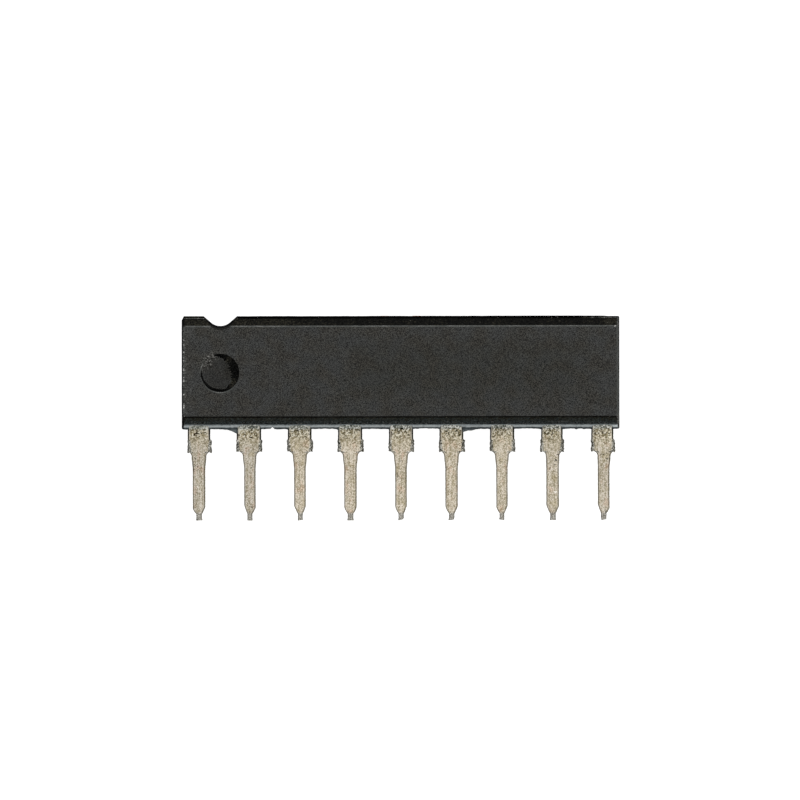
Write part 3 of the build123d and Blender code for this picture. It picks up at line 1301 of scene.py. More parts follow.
    # -- the faces
    def front_face(self, rim: Array, rim_light_and_shade: Array) -> Sheet:
        """Front face and dimple, from the rim of the face to the middle of the dimple.

        Straight spokes run from each rim point to the dimple's circle. The dimple is
        an ejector recess whose floor leans: its wall is broad and deep on the right,
        narrow below and nearly flush at the upper left. Its wall and floor are painted
        dark, darkest on the right, as the recess's shade and the shadow of its right wall;
        a highlight is painted along its lower edge and in light specks at its upper left.

        Args:
            rim: Outline of the front face, points by xyz.
            rim_light_and_shade: Rim mark of each of those points.

        Returns:
            Rings by points, the first on the rim, with finish and marks.
        """
        centre = np.array([self.mark_x, -self.dimple_drop])
        outline, face_z = rim[:, :2], self.high[2]
        none = np.zeros(len(rim))
        rings, rims = [rim], [rim_light_and_shade]
        half = np.array([self.parting_length / 2, self.face_height / 2])
        for inset, share in ((0.02, 0.9), (0.05, 0.0)):
            outline = rim[:, :2] * (1 - inset / half)
            rings.append(at_height(outline, face_z))
            rims.append(rim_light_and_shade * share)

        spoke = outline - centre
        bearing = np.arctan2(spoke[:, 1], spoke[:, 0])
        radius = self.dimple_radius + 0.006 * np.sin(3 * bearing + 1) * np.sin(5 * bearing)
        # Distance from the dimple, and strength of the painted highlight along the lower arc and of
        # the painted light specks on the upper left arc.
        collar_rings = (
            (0.34, 0.0, 0.0), (0.2, 0.0, 0.0), (0.08, 0.1, 0.0), (0.035, 1.3, 0.7),
            (0.0, 0.9, 1.5),
        )
        collar = circle_facing(outline, centre, radius + collar_rings[0][0])
        for share in (0.35, 0.7):
            rings.append(at_height(outline + (collar - outline) * share, face_z))
            rims.append(none)
        # Where the highlight below the dimple and the light specks at its upper left are painted.
        burnished, torn = lobe(bearing, -92, 45), lobe(bearing, 162, 14)
        for reach, pale, line in collar_rings:
            rings.append(at_height(circle_facing(outline, centre, radius + reach), face_z))
            rims.append(pale * burnished + line * torn)

        right = np.maximum(np.cos(bearing - math.radians(20)), 0) ** 0.9
        bottom = lobe(bearing, -104, 62)
        ragged = wander(bearing, 0.05, 1.0, 51)
        wall = 0.045 + 0.39 * right + 0.11 * bottom + 0.11 * ragged * right
        depth = 0.03 + 0.12 * right + 0.07 * bottom
        floor = 0.09  # depth at the middle
        first_wall = len(rings) - 1
        # Share of the way down the wall, inwards and downwards.
        slope = ((0.0, 0.08), (0.1, 0.3), (0.25, 0.45), (0.5, 0.7), (0.75, 0.9), (1.0, 1.0))
        for inwards, down in slope:
            flat = circle_facing(outline, centre, radius - wall * inwards)
            rings.append(at_height(flat, face_z - depth * down))
            # painted shade on the dimple's wall
            rims.append(none - 0.1)
        last_wall = len(rings) - 1
        for share in (0.92, 0.7, 0.45, 0.2, 0.0):
            flat = circle_facing(outline, centre, (radius - wall) * share)
            rings.append(at_height(flat, face_z - floor - (depth - floor) * share**1.5))
            # painted shadow on the dimple's floor, darkest on the right under the broad wall
            rims.append(none - 0.35 - 0.25 * right * share)

        points, rims = np.stack(rings), np.stack(rims)
        finish = np.full((len(rings) - 1, len(rim)), BodyFinish.FACE.value)
        # Outside the flush arc the wall takes the polished finish, whose near black tones paint the
        # recess's shade.
        flush = (bearing > math.radians(108)) & (bearing < math.radians(172))
        finish[first_wall:last_wall] = np.where(
            flush, BodyFinish.FACE.value, BodyFinish.WALL.value
        )
        return Sheet(points, finish, {RIM_LIGHT_SHADE: rims, **self.dimple_marks(points, centre)})

    def dimple_marks(self, points: Array, centre: Array) -> dict[str, Array]:
        """Torn skin at the dimple's upper left and at the face's left end, and the dimple's tones.

        The torn skin's light flakes at the dimple are in part a painted highlight, and the
        near black tones paint the shade on the dimple's wall.

        Args:
            points: Points of the front face.
            centre: Centre of the dimple.

        Returns:
            The speckle and the tone at each point.
        """
        away = points[..., :2] - centre
        reach = np.hypot(away[..., 0], away[..., 1])
        bearing = np.arctan2(away[..., 1], away[..., 0])
        torn = 0.85 * hump(reach, self.dimple_radius - 0.12, 0.24) * lobe(bearing, 136, 32)
        from_end = points[..., 0] + self.parting_length / 2
        torn = torn + 0.5 * hump(from_end, 0.03, 0.04) + 0.2 * hump(from_end, 0.1, 0.3)
        # Near black tones paint the shade on the dimple's wall, a little lighter at some bearings.
        tone = 0.03 + 0.15 * lobe(bearing, 10, 60) + 0.3 * lobe(bearing, 60, 18)
        return {SPECKLE: torn, TONE: tone + 0.35 * lobe(bearing, -42, 24)}

    def back_face(self, rim: Array) -> list[Sheet]:
        """Back face as two halves, each spoked about its own round ejector mark.

        Args:
            rim: Outline of the back face, points by xyz.

        Returns:
            Two grids that share the line x = 0 and the rim.
        """
        low_middle = (self.edge_steps - 1) // 2
        on_axis = (np.abs(rim[:, 0]) < TOUCH_MM) & (rim[:, 1] > 0)
        top_middle = int(np.flatnonzero(on_axis)[0])
        share = np.linspace(0, 1, self.seam_steps)[1:-1, None]
        seam = rim[low_middle] + share * (rim[top_middle] - rim[low_middle])
        right_loop = np.concatenate([rim[low_middle : top_middle + 1], seam[::-1]])
        left_loop = np.concatenate([rim[top_middle:], rim[: low_middle + 1], seam])
        # Distance past the mark's edge and share of its depth: wall, floor, faint ring, floor.
        profile = (
            (0.02, 0.0), (0.0, 0.2), (-0.01, 0.7), (-0.03, 1.0), (-0.30, 1.0),
            (-0.33, 0.8), (-0.36, 1.0), (-0.65, 1.0), (-self.ejector_radius, 1.0),
        )
        sheets = []
        for loop, side in ((left_loop, -1), (right_loop, 1)):
            centre = np.array([-side * self.mark_x, -self.dimple_drop])
            outline = loop[:, :2]
            circle = circle_facing(outline, centre, self.ejector_radius + profile[0][0])
            rings = [
                at_height(outline + (circle - outline) * share, 0.0)
                for share in (0.0, 0.4, 0.8)
            ]
            for reach, height in profile:
                flat = circle_facing(outline, centre, self.ejector_radius + reach)
                rings.append(at_height(flat, height * self.ejector_depth))
            sheets.append(Sheet(np.stack(rings)))
        return sheets

    def build(
        self,
        face: bpy.types.Material,
        wall: bpy.types.Material,
        flash: bpy.types.Material,
    ) -> bpy.types.Object:
        """Makes the body's mesh and gives each surface its finish.

        Args:
            face: Finish of the faces.
            wall: Finish of the drafted walls, the notch and the ledges.
            flash: Finish of the flash web between the leads.

        Returns:
            The finished piece.
        """
        back = self.half_stations(front=False)
        band = self.band_stations()
        front = self.half_stations(front=True)[::-1]
        stations = back + band + front
        shell, side = self.outlines(stations)
        rise = np.array([s.rise for s in stations])
        reach = np.array([s.flash for s in stations])
        in_band = (reach > 0)[:, None]
        tone = np.where(
            in_band, self.flash_tone(shell, side, reach), self.wall_tone(shell, side, rise)
        )
        # Along the face's rim the mark paints a highlight on the lit rims and shade round the
        # notch.
        on_rim = rise[:, None] > 1 - 0.9 * self.rim_radius / (self.high[2] - self.frame_front)
        rim = np.where(on_rim, self.rim_light_and_shade(shell, side), 0)

        rows = np.arange(len(stations) - 1)
        rim_from = 0.965  # share of the rise at which the face's finish starts
        face_row = (rise[:-1] > rim_from) & (rise[1:] > rim_from)
        band_row = (rows >= len(back) - 1) & (rows < len(back) + len(band))
        finish = np.full((len(rows), len(side)), BodyFinish.WALL.value)
        finish[face_row] = BodyFinish.FACE.value
        finish[np.ix_(band_row, side == BodySide.LOWER.value)] = BodyFinish.FLASH.value
        walls = Sheet(shell, finish, {RIM_LIGHT_SHADE: rim, TONE: tone})
        sheets = [walls, self.front_face(shell[-1], rim[-1]), *self.back_face(shell[0])]
        return build_piece(
            "moulded_body_skin", sheets, [face, wall, flash], "moulded_body"
        )


# ---- Leads -----------------------------------------------------------------------------
@dataclass(frozen=True)
class LeadSide:
    """Outline of one side of a lead, as distances from its centre line."""

    shoulder: float = 0.61
    stub: float = 0.65
    pin: float = 0.30
    root: float = 0.055
    neck: float = 0.135
    foot: float = 0.15
    taper: float = 0.42
    bulge: float = 1.3
    hook: float = 0.02


@dataclass(frozen=True)
class Stain:
    """A patch of pits (depth above 0) or of bright worn specks painted white as glints (below 0).

    x is from the lead's centre and y is in the frame; the reaches are half its size.
    """

    x: float
    y: float
    reach_x: float
    reach_y: float
    depth: float


@dataclass(frozen=True)
class LeadShape:
    """What sets one lead apart from its neighbours; the tip's right corner is cut higher
    than its left one by the slant.
    """

    left: LeadSide
    right: LeadSide
    slant: float = 0.0
    tarnish: float = 0.0
    stains: tuple[Stain, ...] = ()


LEAD_SHAPES = (
    LeadShape(
        LeadSide(
            shoulder=0.56, stub=0.565, pin=0.315, neck=0.14, taper=0.28, bulge=1.5, hook=0.08
        ),
        LeadSide(
            shoulder=0.57, stub=0.65, pin=0.32, neck=0.15, foot=0.18, taper=0.38, hook=0.08
        ),
        slant=0.02,
        tarnish=1,
        stains=(
            Stain(-0.08, -3.12, 0.24, 0.12, 1.0),
            Stain(0.12, -3.28, 0.08, 0.06, 0.8),
            Stain(0.54, -2.92, 0.06, 0.06, 1.6),
            Stain(0.55, -3.50, 0.05, 0.04, -1.6),
            Stain(0.60, -3.75, 0.05, 0.05, -1.6),
            Stain(-0.08, -7.46, 0.10, 0.04, 1.2),
            Stain(0.15, -7.46, 0.04, 0.04, 1.0),
            Stain(-0.06, -4.76, 0.12, 0.07, 1.1),
            Stain(-0.02, -4.93, 0.10, 0.05, 0.9),
            Stain(-0.27, -4.80, 0.07, 0.45, 0.8),
            Stain(-0.15, -4.38, 0.08, 0.08, 0.7),
            Stain(-0.05, -5.75, 0.13, 0.20, -0.5),
            Stain(-0.14, -6.10, 0.07, 0.07, 0.8),
        ),
    ),
    LeadShape(
        LeadSide(
            shoulder=0.64, stub=0.66, pin=0.27, neck=0.11, foot=0.12, taper=0.45, bulge=1.15
        ),
        LeadSide(
            shoulder=0.59, stub=0.64, pin=0.31, root=0.035, neck=0.145, foot=0.155, taper=0.33
        ),
        tarnish=1,
        stains=(
            Stain(-0.62, -3.20, 0.05, 0.25, 1.3),
            Stain(0.57, -3.10, 0.05, 0.25, 1.0),
            Stain(-0.62, -3.52, 0.04, 0.06, -1.6),
            Stain(-0.20, -3.42, 0.12, 0.04, 0.7),
            Stain(0.05, -3.33, 0.12, 0.05, 0.7),
            Stain(0.28, -3.17, 0.12, 0.06, 0.8),
            Stain(0.12, -4.72, 0.05, 0.04, 1.5),
            Stain(0.12, -4.86, 0.05, 0.04, 1.4),
            Stain(0.34, -4.33, 0.03, 0.10, 1.0),
            Stain(0.12, -6.80, 0.07, 0.09, 1.0),
            Stain(-0.02, -6.95, 0.05, 0.05, 0.9),
        ),
    ),
    LeadShape(
        LeadSide(neck=0.115, foot=0.12, bulge=1.2, hook=0.0),
        LeadSide(shoulder=0.58, pin=0.29, foot=0.145),
        slant=0.03,
        stains=(
            Stain(-0.58, -3.15, 0.06, 0.30, 1.5),
            Stain(-0.06, -2.95, 0.15, 0.05, 2.0),
            Stain(0.0, -3.20, 0.08, 0.08, 0.6),
            Stain(0.34, -3.37, 0.08, 0.08, -1.1),
            Stain(-0.35, -3.05, 0.12, 0.10, -0.5),
            Stain(-0.09, -4.66, 0.04, 0.05, 1.2),
            Stain(-0.09, -4.90, 0.03, 0.06, 0.7),
            Stain(0.0, -5.6, 0.03, 0.30, 0.4),
        ),
    ),
    LeadShape(
        LeadSide(
            shoulder=0.63, pin=0.325, neck=0.15, foot=0.17, taper=0.36, bulge=1.4, hook=0.04
        ),
        LeadSide(
            shoulder=0.59, stub=0.66, pin=0.31, neck=0.14, foot=0.16, bulge=1.8, hook=0.04
        ),
        tarnish=0.1,
        stains=(
            Stain(0.56, -3.05, 0.05, 0.20, 1.2),
            Stain(0.25, -3.20, 0.10, 0.09, 0.9),
            Stain(-0.05, -3.20, 0.12, 0.08, 0.7),
            Stain(-0.40, -2.90, 0.12, 0.05, -0.8),
            Stain(0.40, -3.45, 0.06, 0.10, -0.8),
            Stain(-0.08, -6.07, 0.05, 0.05, 1.2),
            Stain(-0.12, -6.29, 0.03, 0.07, 1.1),
            Stain(-0.24, -5.20, 0.04, 0.14, 0.9),
        ),
    ),
    LeadShape(
        LeadSide(shoulder=0.61, stub=0.63, taper=0.40, bulge=1.7, foot=0.145, hook=0.0),
        LeadSide(stub=0.66, pin=0.29, foot=0.10, bulge=1.2, hook=0.05),
        slant=0.05,
        tarnish=0.1,
        stains=(
            Stain(0.06, -2.91, 0.11, 0.06, 2.0),
            Stain(0.49, -2.92, 0.07, 0.09, -1.1),
            Stain(-0.14, -2.97, 0.08, 0.06, -0.8),
            Stain(-0.47, -3.15, 0.06, 0.25, 1.1),
            Stain(0.0, -4.23, 0.17, 0.04, 0.9),
            Stain(-0.02, -4.53, 0.14, 0.06, 0.9),
            Stain(-0.17, -5.25, 0.03, 0.25, 1.5),
            Stain(-0.22, -6.20, 0.03, 0.50, 0.6),
        ),
    ),
    LeadShape(
        LeadSide(stub=0.63, pin=0.32, neck=0.14, foot=0.165, taper=0.38, bulge=1.4, hook=0.05),
        LeadSide(shoulder=0.59, stub=0.67, pin=0.31, neck=0.14, foot=0.11, hook=0.05),
        slant=0.03,
        stains=(
            Stain(0.0, -3.10, 0.30, 0.17, 0.95),
            Stain(-0.48, -3.70, 0.09, 0.30, 1.0),
            Stain(-0.28, -4.90, 0.04, 0.12, 1.4),
            Stain(0.12, -4.45, 0.06, 0.05, 0.7),
        ),
    ),
    LeadShape(
        LeadSide(shoulder=0.61, stub=0.62, foot=0.155, taper=0.35, hook=0.0),
        LeadSide(stub=0.66, pin=0.275, neck=0.105, foot=0.105, bulge=1.2, hook=0.05),
        slant=-0.03,
        tarnish=0.1,
        stains=(
            Stain(0.15, -2.88, 0.15, 0.06, -0.8),
            Stain(0.33, -3.12, 0.12, 0.08, 0.6),
            Stain(0.60, -3.20, 0.05, 0.25, 1.0),
            Stain(-0.20, -3.40, 0.05, 0.05, 1.0),
            Stain(0.58, -3.53, 0.05, 0.06, -1.1),
            Stain(-0.08, -4.58, 0.035, 0.035, 2.5),
            Stain(-0.15, -5.90, 0.025, 0.75, 0.7),
        ),
    ),
    LeadShape(
        LeadSide(
            shoulder=0.58, stub=0.62, pin=0.325, root=0.015, neck=0.135, taper=0.45, hook=0.06
        ),
        LeadSide(
            shoulder=0.50, stub=0.57, pin=0.315, root=0.02, neck=0.15, foot=0.16,
            taper=0.38, bulge=1.1, hook=0.06,
        ),
        tarnish=0.4,
        stains=(
            Stain(-0.41, -3.02, 0.10, 0.06, -0.8),
            Stain(0.39, -3.12, 0.03, 0.20, -0.7),
            Stain(-0.03, -3.17, 0.13, 0.12, 0.9),
            Stain(0.40, -4.10, 0.08, 0.06, 0.9),
            Stain(0.28, -4.24, 0.09, 0.06, 1.0),
            Stain(0.12, -4.36, 0.09, 0.06, 1.1),
            Stain(0.16, -4.50, 0.07, 0.05, 1.8),
            Stain(0.08, -4.73, 0.035, 0.035, 2.5),
            Stain(-0.14, -4.93, 0.04, 0.04, 2.0),
            Stain(0.12, -6.10, 0.08, 0.07, -2.0),
        ),
    ),
    LeadShape(
        LeadSide(
            shoulder=0.60, stub=0.61, pin=0.275, root=0.015, neck=0.12, foot=0.10,
            taper=0.45, bulge=1.0, hook=0.04,
        ),
        LeadSide(
            shoulder=0.51, stub=0.595, pin=0.315, neck=0.16, taper=0.27, bulge=1.2, hook=0.08
        ),
        slant=0.04,
        tarnish=0.65,
        stains=(
            Stain(0.0, -3.08, 0.60, 0.16, 0.8),
            Stain(-0.30, -3.22, 0.10, 0.06, 0.5),
            Stain(0.08, -4.20, 0.25, 0.09, 0.9),
            Stain(0.19, -4.43, 0.12, 0.10, 1.0),
            Stain(0.26, -5.40, 0.05, 0.90, 0.7),
            Stain(0.08, -6.10, 0.06, 0.06, -0.8),
            Stain(0.12, -7.15, 0.06, 0.25, 1.3),
        ),
    ),
)


@dataclass
class Lead:
    """One stamped and tinned lead, from the sheared tip to the finger in the body."""

    number: int
    shape: LeadShape
    seat_from_tip: float = 3.485
    row_shift: float = 0.02  # the lead frame sat a hair towards pin nine
    neck_length: float = 0.34
    foot_length: float = 0.10
    root_length: float = 0.90
    seat_radius: float = 0.26
    stub_height: float = 0.58
    edge_radius: float = 0.045
    anchor_half: float = 0.60
    anchor_depth: float = 1.10
    hole_radius: float = 0.22
    hole_from_edge: float = 0.55
    finger_width: float = 0.50
    body_edge: float = -2.69
    tin_mm: float = 0.004  # tin on the outside; the metal in the body has none
    bar_cut_y: float = -3.33  # where cutting the dam bar scraped the shoulder
    anchor_steps: int = 16
    low: Array = field(init=False)
    high: Array = field(init=False)
    seat: float = field(init=False)

    def __post_init__(self) -> None:
        """Takes the lead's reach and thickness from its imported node."""
        self.low, self.high = box_mm(f"lead_{self.number}")
        self.seat = self.low[1] + self.seat_from_tip

    def half_width(self, y: Array, side: LeadSide, seed: int) -> Array:
        """Half width of the lead on one side, at each height.

        From the tip: a flared foot, a straight neck, a taper that follows
        1 - (1 - t)^bulge, the pin, a root that widens by an ease, a concave quarter
        circle under the seat, the dam-bar stub, and the shoulder.

        Args:
            y: Heights in millimetres.
            side: The outline's sizes.
            seed: Picks the roughness of the edge.

        Returns:
            Half widths in millimetres.
        """
        tip, seat = self.low[1], self.seat
        neck_end = tip + self.neck_length
        flare = ease(tip + self.foot_length + 0.06, tip + 0.02, y)
        foot = side.neck + (side.foot - side.neck) * flare
        share = np.clip((y - neck_end) / side.taper, 0, 1)
        taper = side.neck + (side.pin - side.neck) * (1 - (1 - share) ** side.bulge)
        widen = ease(seat - self.root_length, seat - self.seat_radius, y)
        climb = np.clip(y - (seat - self.seat_radius), 0, self.seat_radius)
        fillet = self.seat_radius - np.sqrt(self.seat_radius**2 - climb**2)
        shaft = side.pin + side.root * widen + fillet
        stub_top = seat + self.stub_height
        stub = side.shoulder + (side.stub - side.shoulder) * ease(
            stub_top + 0.05, stub_top - 0.05, y
        )
        width = np.where(y < neck_end, foot, taper)
        width = np.where(y > neck_end + side.taper, shaft, width)
        width = np.where(y >= seat - TOUCH_MM, stub, width)
        torn = ease(seat - 0.02, seat + 0.05, y) * ease(stub_top + 0.06, stub_top - 0.04, y)
        width = width + wander(y, 0.07, 0.005, seed) + wander(y, 0.06, 0.020, seed + 2) * torn
        return width + (self.anchor_half - width) * ease(-2.75, self.body_edge, y)

    def heights(self) -> Array:
        """Heights of the sections, close together where the outline turns.

        Returns:
            Heights in millimetres, from the tip into the body.
        """
        tip, seat = self.low[1], self.seat
        neck_end = tip + self.neck_length
        quarter = np.sin(np.linspace(0, np.pi / 2, 13)[:-1])
        stretches = [
            np.linspace(tip, neck_end, 18)[:-1],
            np.linspace(neck_end, tip + 0.90, 36)[:-1],
            np.linspace(tip + 0.90, seat - 0.95, 50)[:-1],
            np.linspace(seat - 0.95, seat - self.seat_radius, 26)[:-1],
            seat - self.seat_radius * (1 - quarter),
            [seat - 0.002, seat],
            np.linspace(seat, seat + 0.12, 9)[1:-1],
            np.linspace(seat + 0.12, seat + 0.80, 36)[:-1],
            np.linspace(seat + 0.80, self.body_edge + 0.25, 24),
        ]
        return np.concatenate(stretches)

    def section(self) -> dict[str, Array]:
        """Unit section of the strip with rounded corners, from the front left corner.

        Returns:
            For each point of the ring: "flat", its share of the flat width; "out" and
            "up", its shares of the corner radius; "level", its share of the thickness.
        """
        across = np.linspace(-1, 1, 13)
        turn = np.linspace(0, np.pi / 2, 5)[1:]
        down = np.linspace(1, -1, 4)[1:]
        one, corner, side = np.ones_like(across), np.ones_like(turn), np.ones_like(down)
        half = {
            "flat": (across, corner, side, corner),
            "out": (0 * across, np.sin(turn), side, np.cos(turn)),
            "level": (one, corner, down, -corner),
            "up": (one, np.cos(turn), 0 * down, -np.sin(turn)),
        }
        joined = {key: np.concatenate(value)[:-1] for key, value in half.items()}
        return {key: np.concatenate([value, -value]) for key, value in joined.items()}

    def blade(self) -> Sheet:
        """The part outside the body: a rounded strip section carried up the centre line.

        Returns:
            A closed grid, with both ends drawn together to a point inside the metal.
        """
        ring = self.section()
        y = self.heights()
        seed = 100 + 10 * self.number
        left = self.half_width(y, self.shape.left, seed)
        right = self.half_width(y, self.shape.right, seed + 1)
        radius = self.edge_radius
        flat, out = ring["flat"][None, :], ring["out"][None, :]
        x = flat * np.where(flat >= 0, (right - radius)[:, None], (left - radius)[:, None])
        x = x + radius * out
        half = (self.high[2] - self.low[2]) / 2
        thin = 1 - 0.1 * ease(self.low[1] + 0.4, self.low[1], y)[:, None]
        z = thin * ((half - radius) * ring["level"] + radius * ring["up"])[None, :]
        crown = 0.008 * np.abs(flat) ** 4
        crown = crown + 0.003 * (1 + wander(y, 0.3, 1.0, 500 + self.number)[:, None])
        z = z - np.sign(z) * crown * (np.abs(ring["up"])[None, :] > 0.3)

        near_seat = ease(self.seat + 0.13, self.seat + 0.01, y) * (y >= self.seat - TOUCH_MM)
        corner = ease(0.72, 1.0, np.abs(flat)) * near_seat[:, None]
        hook = np.where(flat >= 0, self.shape.right.hook, self.shape.left.hook)
        ragged = wander(flat * 0.15 + 0 * x, 0.035, 0.018, 900 + self.number)
        foot = ease(self.low[1] + 0.12, self.low[1] + 0.01, y)[:, None]
        slant = self.shape.slant * (flat * np.sign(self.shape.slant) + 1) / 2
        level_y = y[:, None] - hook * corner + foot * (np.abs(ragged) + np.abs(slant))
        middle = (self.low[2] + self.high[2]) / 2
        centre = lead_x(self.number) + self.row_shift
        points = np.stack([centre + x, level_y, middle + z], axis=-1)

        to_right = right[:, None] - x - 0.012  # the painted dark edge reaches a little further in on the right
        to_left = left[:, None] + x + 0.01 * ease(self.seat, self.seat - 0.3, y)[:, None]
        from_edge = np.maximum(np.minimum(to_right, to_left), 0)
        from_edge = from_edge - 0.12 * (np.abs(ring["level"]) < 0.9) * (ring["up"] == 0)
        stain = 0.4 * hump(level_y, self.bar_cut_y, 0.06)
        for spot in self.shape.stains:
            patch = hump(x, spot.x, spot.reach_x) * hump(level_y, spot.y, spot.reach_y)
            stain = stain + spot.depth * patch

        core = points[[0, -1]].mean(axis=1, keepdims=True)
        near = core + (points[[0, -1]] - core) * 0.55
        tips = core + 0 * near
        points = np.concatenate([tips[:1], near[:1], points, near[1:], tips[1:]])
        rows = np.r_[0, 0, 0 : len(y), -1, -1]
        marks = {FROM_EDGE: from_edge[rows], STAIN: stain[rows], TARNISH: self.shape.tarnish}
        return Sheet(points, None, marks)

    def anchor(self) -> Sheet:
        """Wide anchor inside the body: a ring round the lock hole, outer wall and hole.

        Returns:
            A grid closed both ways, whose last row repeats the first.
        """
        x, half = lead_x(self.number), self.anchor_half
        low_y, high_y = self.body_edge + 0.18, self.body_edge + self.anchor_depth
        run = np.arange(self.anchor_steps)[:, None] / self.anchor_steps
        corners = np.array(
            [
                [x - half, low_y],
                [x + half, low_y],
                [x + half, high_y],
                [x - half, high_y],
                [x - half, low_y],
            ]
        )
        outline = np.concatenate(
            [start + run * (end - start) for start, end in zip(corners, corners[1:])]
        )
        centre = np.array([x, self.body_edge + self.hole_from_edge])
        hole = circle_facing(outline, centre, self.hole_radius)
        top, base = self.high[2] - self.tin_mm, self.low[2] + self.tin_mm
        order = ((outline, top), (hole, top), (hole, base), (outline, base), (outline, top))
        return Sheet(np.stack([at_height(flat, z) for flat, z in order]))

    def finger(self) -> Sheet:
        """Finger inside the body: a flat section carried along its route, with a mitre.

        Returns:
            A closed grid, with both ends drawn to a point.
        """
        x, half = lead_x(self.number), self.finger_width / 2
        start_y = self.body_edge + self.anchor_depth - 0.1
        side = int(np.sign(x))
        level = self.high[1] - half
        if side == 0:
            route = np.array([(x, start_y), (x, self.high[1])])
            offset = np.array([(half, 0.0), (half, 0.0)])
        else:
            end_x = self.high[0] if side < 0 else self.low[0]
            route = np.array([(x, start_y), (x, level), (end_x, level)])
            offset = np.array([(half, 0.0), (half, side * half), (0.0, side * half)])
        top, base = self.high[2] - self.tin_mm, self.low[2] + self.tin_mm
        near, far = route - offset, route + offset
        order = ((near, top), (far, top), (far, base), (near, base))
        points = np.stack([at_height(flat, z) for flat, z in order], axis=1)
        ends = points[[0, -1]].mean(axis=1, keepdims=True) + 0 * points[[0, -1]]
        return Sheet(np.concatenate([ends[:1], points, ends[1:]]))

    def build(self, tin: bpy.types.Material) -> bpy.types.Object:
        """Makes the lead's mesh and gives it its tin coat.

        Args:
            tin: The coat.

        Returns:
            The piece.
        """
        return build_piece(
            f"tinned_lead_{self.number}",
            [self.blade(), self.anchor(), self.finger()],
            [tin],
            f"lead_{self.number}",
        )


# ---- Pieces sealed inside the body -----------------------------------------------------
@dataclass
class SealedCore:
    """Die island, adhesive, die and gold wires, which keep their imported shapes."""

    # Rolled copper alloy: salmon, with a satin sheen and faint rolling grain.
    island: SealedFinish = SealedFinish(
        "rolled_copper_alloy",
        light="#b07a55", dark="#84583a", grain_mm=0.06, metallic=1.0, roughness=0.5,
    )
    # Silver-filled adhesive: a dull pale grey paste with fine flakes.
    adhesive: SealedFinish = SealedFinish(
        "silver_filled_adhesive",
        light="#bdbdb8", dark="#9a9a96", grain_mm=0.05, metallic=0.4, roughness=0.6,
    )
    # Polished silicon: a dark blue-grey mirror.
    silicon: SealedFinish = SealedFinish(
        "polished_silicon",
        light="#5a606c", dark="#474c58", grain_mm=0.4, metallic=0.3, roughness=0.15,
    )
    # Drawn gold wire: bright warm yellow.
    gold: SealedFinish = SealedFinish(
        "drawn_gold_wire",
        light="#f0c668", dark="#d9a642", grain_mm=0.04, metallic=1.0, roughness=0.25,
    )

    def dress(self) -> None:
        """Gives every sealed node its finish."""
        finishes = {
            "die_island": self.island.build(),
            "die_attach": self.adhesive.build(),
            "silicon_die": self.silicon.build(),
        }
        gold = self.gold.build()
        finishes.update({f"bond_wire_{n}": gold for n in range(1, LEAD_COUNT + 1)})
        for node, material in finishes.items():
            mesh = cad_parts[node].data
            mesh.materials.clear()
            mesh.materials.append(material)
            LOG.info("dressed %s in %s", node, material.name)


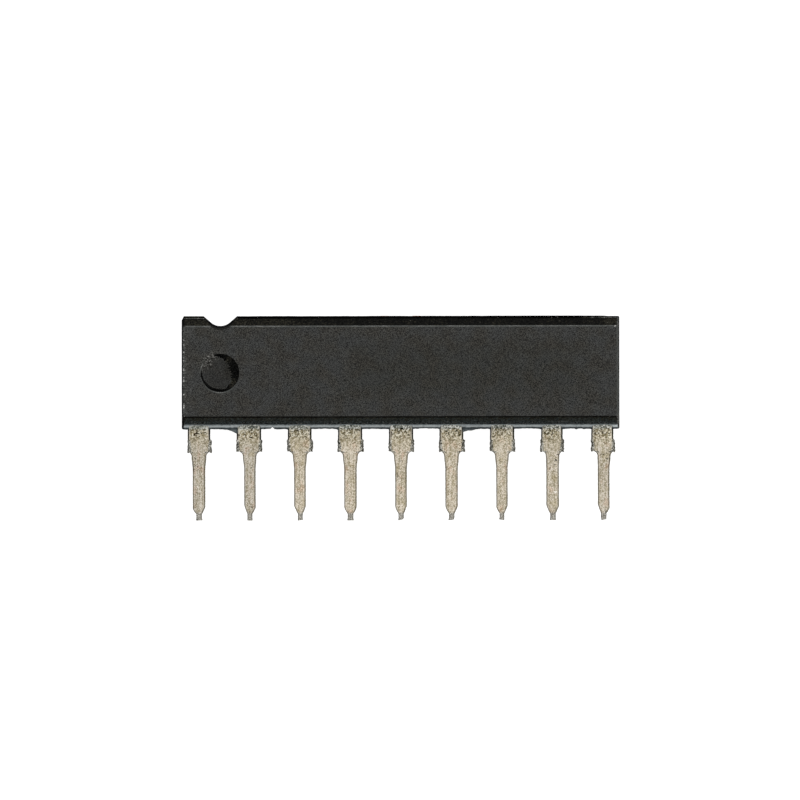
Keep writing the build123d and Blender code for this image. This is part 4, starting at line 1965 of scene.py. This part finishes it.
# ---- Studio ----------------------------------------------------------------------------
@dataclass
class Studio:
    """Pale floor, soft light from the upper right and a camera straight above."""

    view_centre: tuple[float, float] = (-0.03, -1.465)
    view_width: float = 40.21  # at the lead frame's level
    view_level: float = 1.4
    view_roll: float = -0.1
    camera_height: float = 1000.0
    floor_colour: str = "#969695"
    floor_glow: float = 0.93
    world_level: float = 0.62
    key_place: tuple[float, float, float] = (210.0, 190.0, 230.0)
    key_size: float = 160.0
    key_power: float = 0.72
    fill_place: tuple[float, float, float] = (-260.0, -120.0, 260.0)
    fill_size: float = 220.0
    fill_power: float = 0.12

    def floor(self) -> None:
        """A plain square of floor just under the part, white to the camera."""
        half, z = 1500.0 * MM, -0.004 * MM
        mesh = bpy.data.meshes.new("floor")
        corners = [(-half, -half, z), (half, -half, z), (half, half, z), (-half, half, z)]
        mesh.from_pydata(corners, [], [(0, 1, 2, 3)])
        material = bpy.data.materials.new("matte_white_card")
        material.use_nodes = True
        tree = material.node_tree
        tree.nodes.clear()
        camera_ray = add_node(tree, "LightPath", {}, "Is Camera Ray")
        seen = camera_ray
        for ray in ("Is Glossy Ray", "Is Transmission Ray"):
            also = camera_ray.node.outputs[ray]
            seen = add_node(tree, "Math", {0: seen, 1: also}, operation="MAXIMUM")
        strength = add_node(
            tree, "Math", {0: seen, 1: self.floor_glow}, operation="MULTIPLY"
        )
        card = add_node(tree, "BsdfDiffuse", {"Color": self.floor_colour})
        glow = add_node(tree, "Emission", {"Color": "#ffffff", "Strength": strength})
        both = add_node(tree, "AddShader", {0: card, 1: glow})
        add_node(tree, "OutputMaterial", {"Surface": both})
        mesh.materials.append(material)
        floor = bpy.data.objects.new("floor", mesh)
        bpy.context.scene.collection.objects.link(floor)

    def world(self) -> None:
        """Even light from all round, seen as white by the camera."""
        world = bpy.data.worlds.new("studio")
        bpy.context.scene.world = world
        world.use_nodes = True
        tree = world.node_tree
        tree.nodes.clear()
        seen = add_node(tree, "LightPath", {}, "Is Camera Ray")
        room = add_node(tree, "Background", {"Color": "#ffffff", "Strength": self.world_level})
        white = add_node(tree, "Background", {"Color": "#ffffff", "Strength": 1.0})
        mixed = add_node(tree, "MixShader", {0: seen, 1: room, 2: white})
        add_node(tree, "OutputWorld", {"Surface": mixed})

    def lamp(self, name: str, place: tuple[float, float, float], size: float, power: float) -> None:
        """A square soft box that points at the part.

        Args:
            name: Name of the lamp.
            place: Where it hangs, in millimetres.
            size: Length of its side, in millimetres.
            power: Its power in watts.
        """
        light = bpy.data.lights.new(name, "AREA")
        light.size, light.energy = size * MM, power
        lamp = bpy.data.objects.new(name, light)
        lamp.location = [v * MM for v in place]
        lamp.rotation_euler = (-lamp.location).to_track_quat("-Z", "Y").to_euler()
        bpy.context.scene.collection.objects.link(lamp)

    def camera(self) -> None:
        """A long lens straight above, framed on the whole part with +Y up."""
        lens = bpy.data.cameras.new("camera")
        lens.sensor_width = 36.0
        distance = self.camera_height - self.view_level
        lens.lens = lens.sensor_width * distance / self.view_width
        lens.clip_start, lens.clip_end = 0.01, 10.0
        camera = bpy.data.objects.new("camera", lens)
        x, y = self.view_centre
        camera.location = (x * MM, y * MM, self.camera_height * MM)
        camera.rotation_euler = (0.0, 0.0, math.radians(self.view_roll))
        bpy.context.scene.collection.objects.link(camera)
        bpy.context.scene.camera = camera

    def build(self) -> None:
        """Floor, light and camera."""
        self.floor()
        self.world()
        self.lamp("key_soft_box", self.key_place, self.key_size, self.key_power)
        self.lamp("fill_soft_box", self.fill_place, self.fill_size, self.fill_power)
        self.camera()
        bpy.context.scene.view_settings.view_transform = "Standard"


def main() -> None:
    """Builds the body, the leads, the sealed pieces and the studio, in that order."""
    logging.basicConfig(level=logging.INFO, format="%(name)s: %(message)s")
    body = MouldedBody().build(
        EdmMattedEpoxy().build(), PolishedMouldEpoxy().build(), ResinFlash().build()
    )
    LOG.info("built %s: %d faces", body.name, len(body.data.polygons))
    tin = MatteTinPlate().build()
    for number, shape in enumerate(LEAD_SHAPES, start=1):
        lead = Lead(number, shape).build(tin)
        LOG.info("built %s: %d faces", lead.name, len(lead.data.polygons))
    SealedCore().dress()
    Studio().build()


if __name__ == "__main__":
    main()
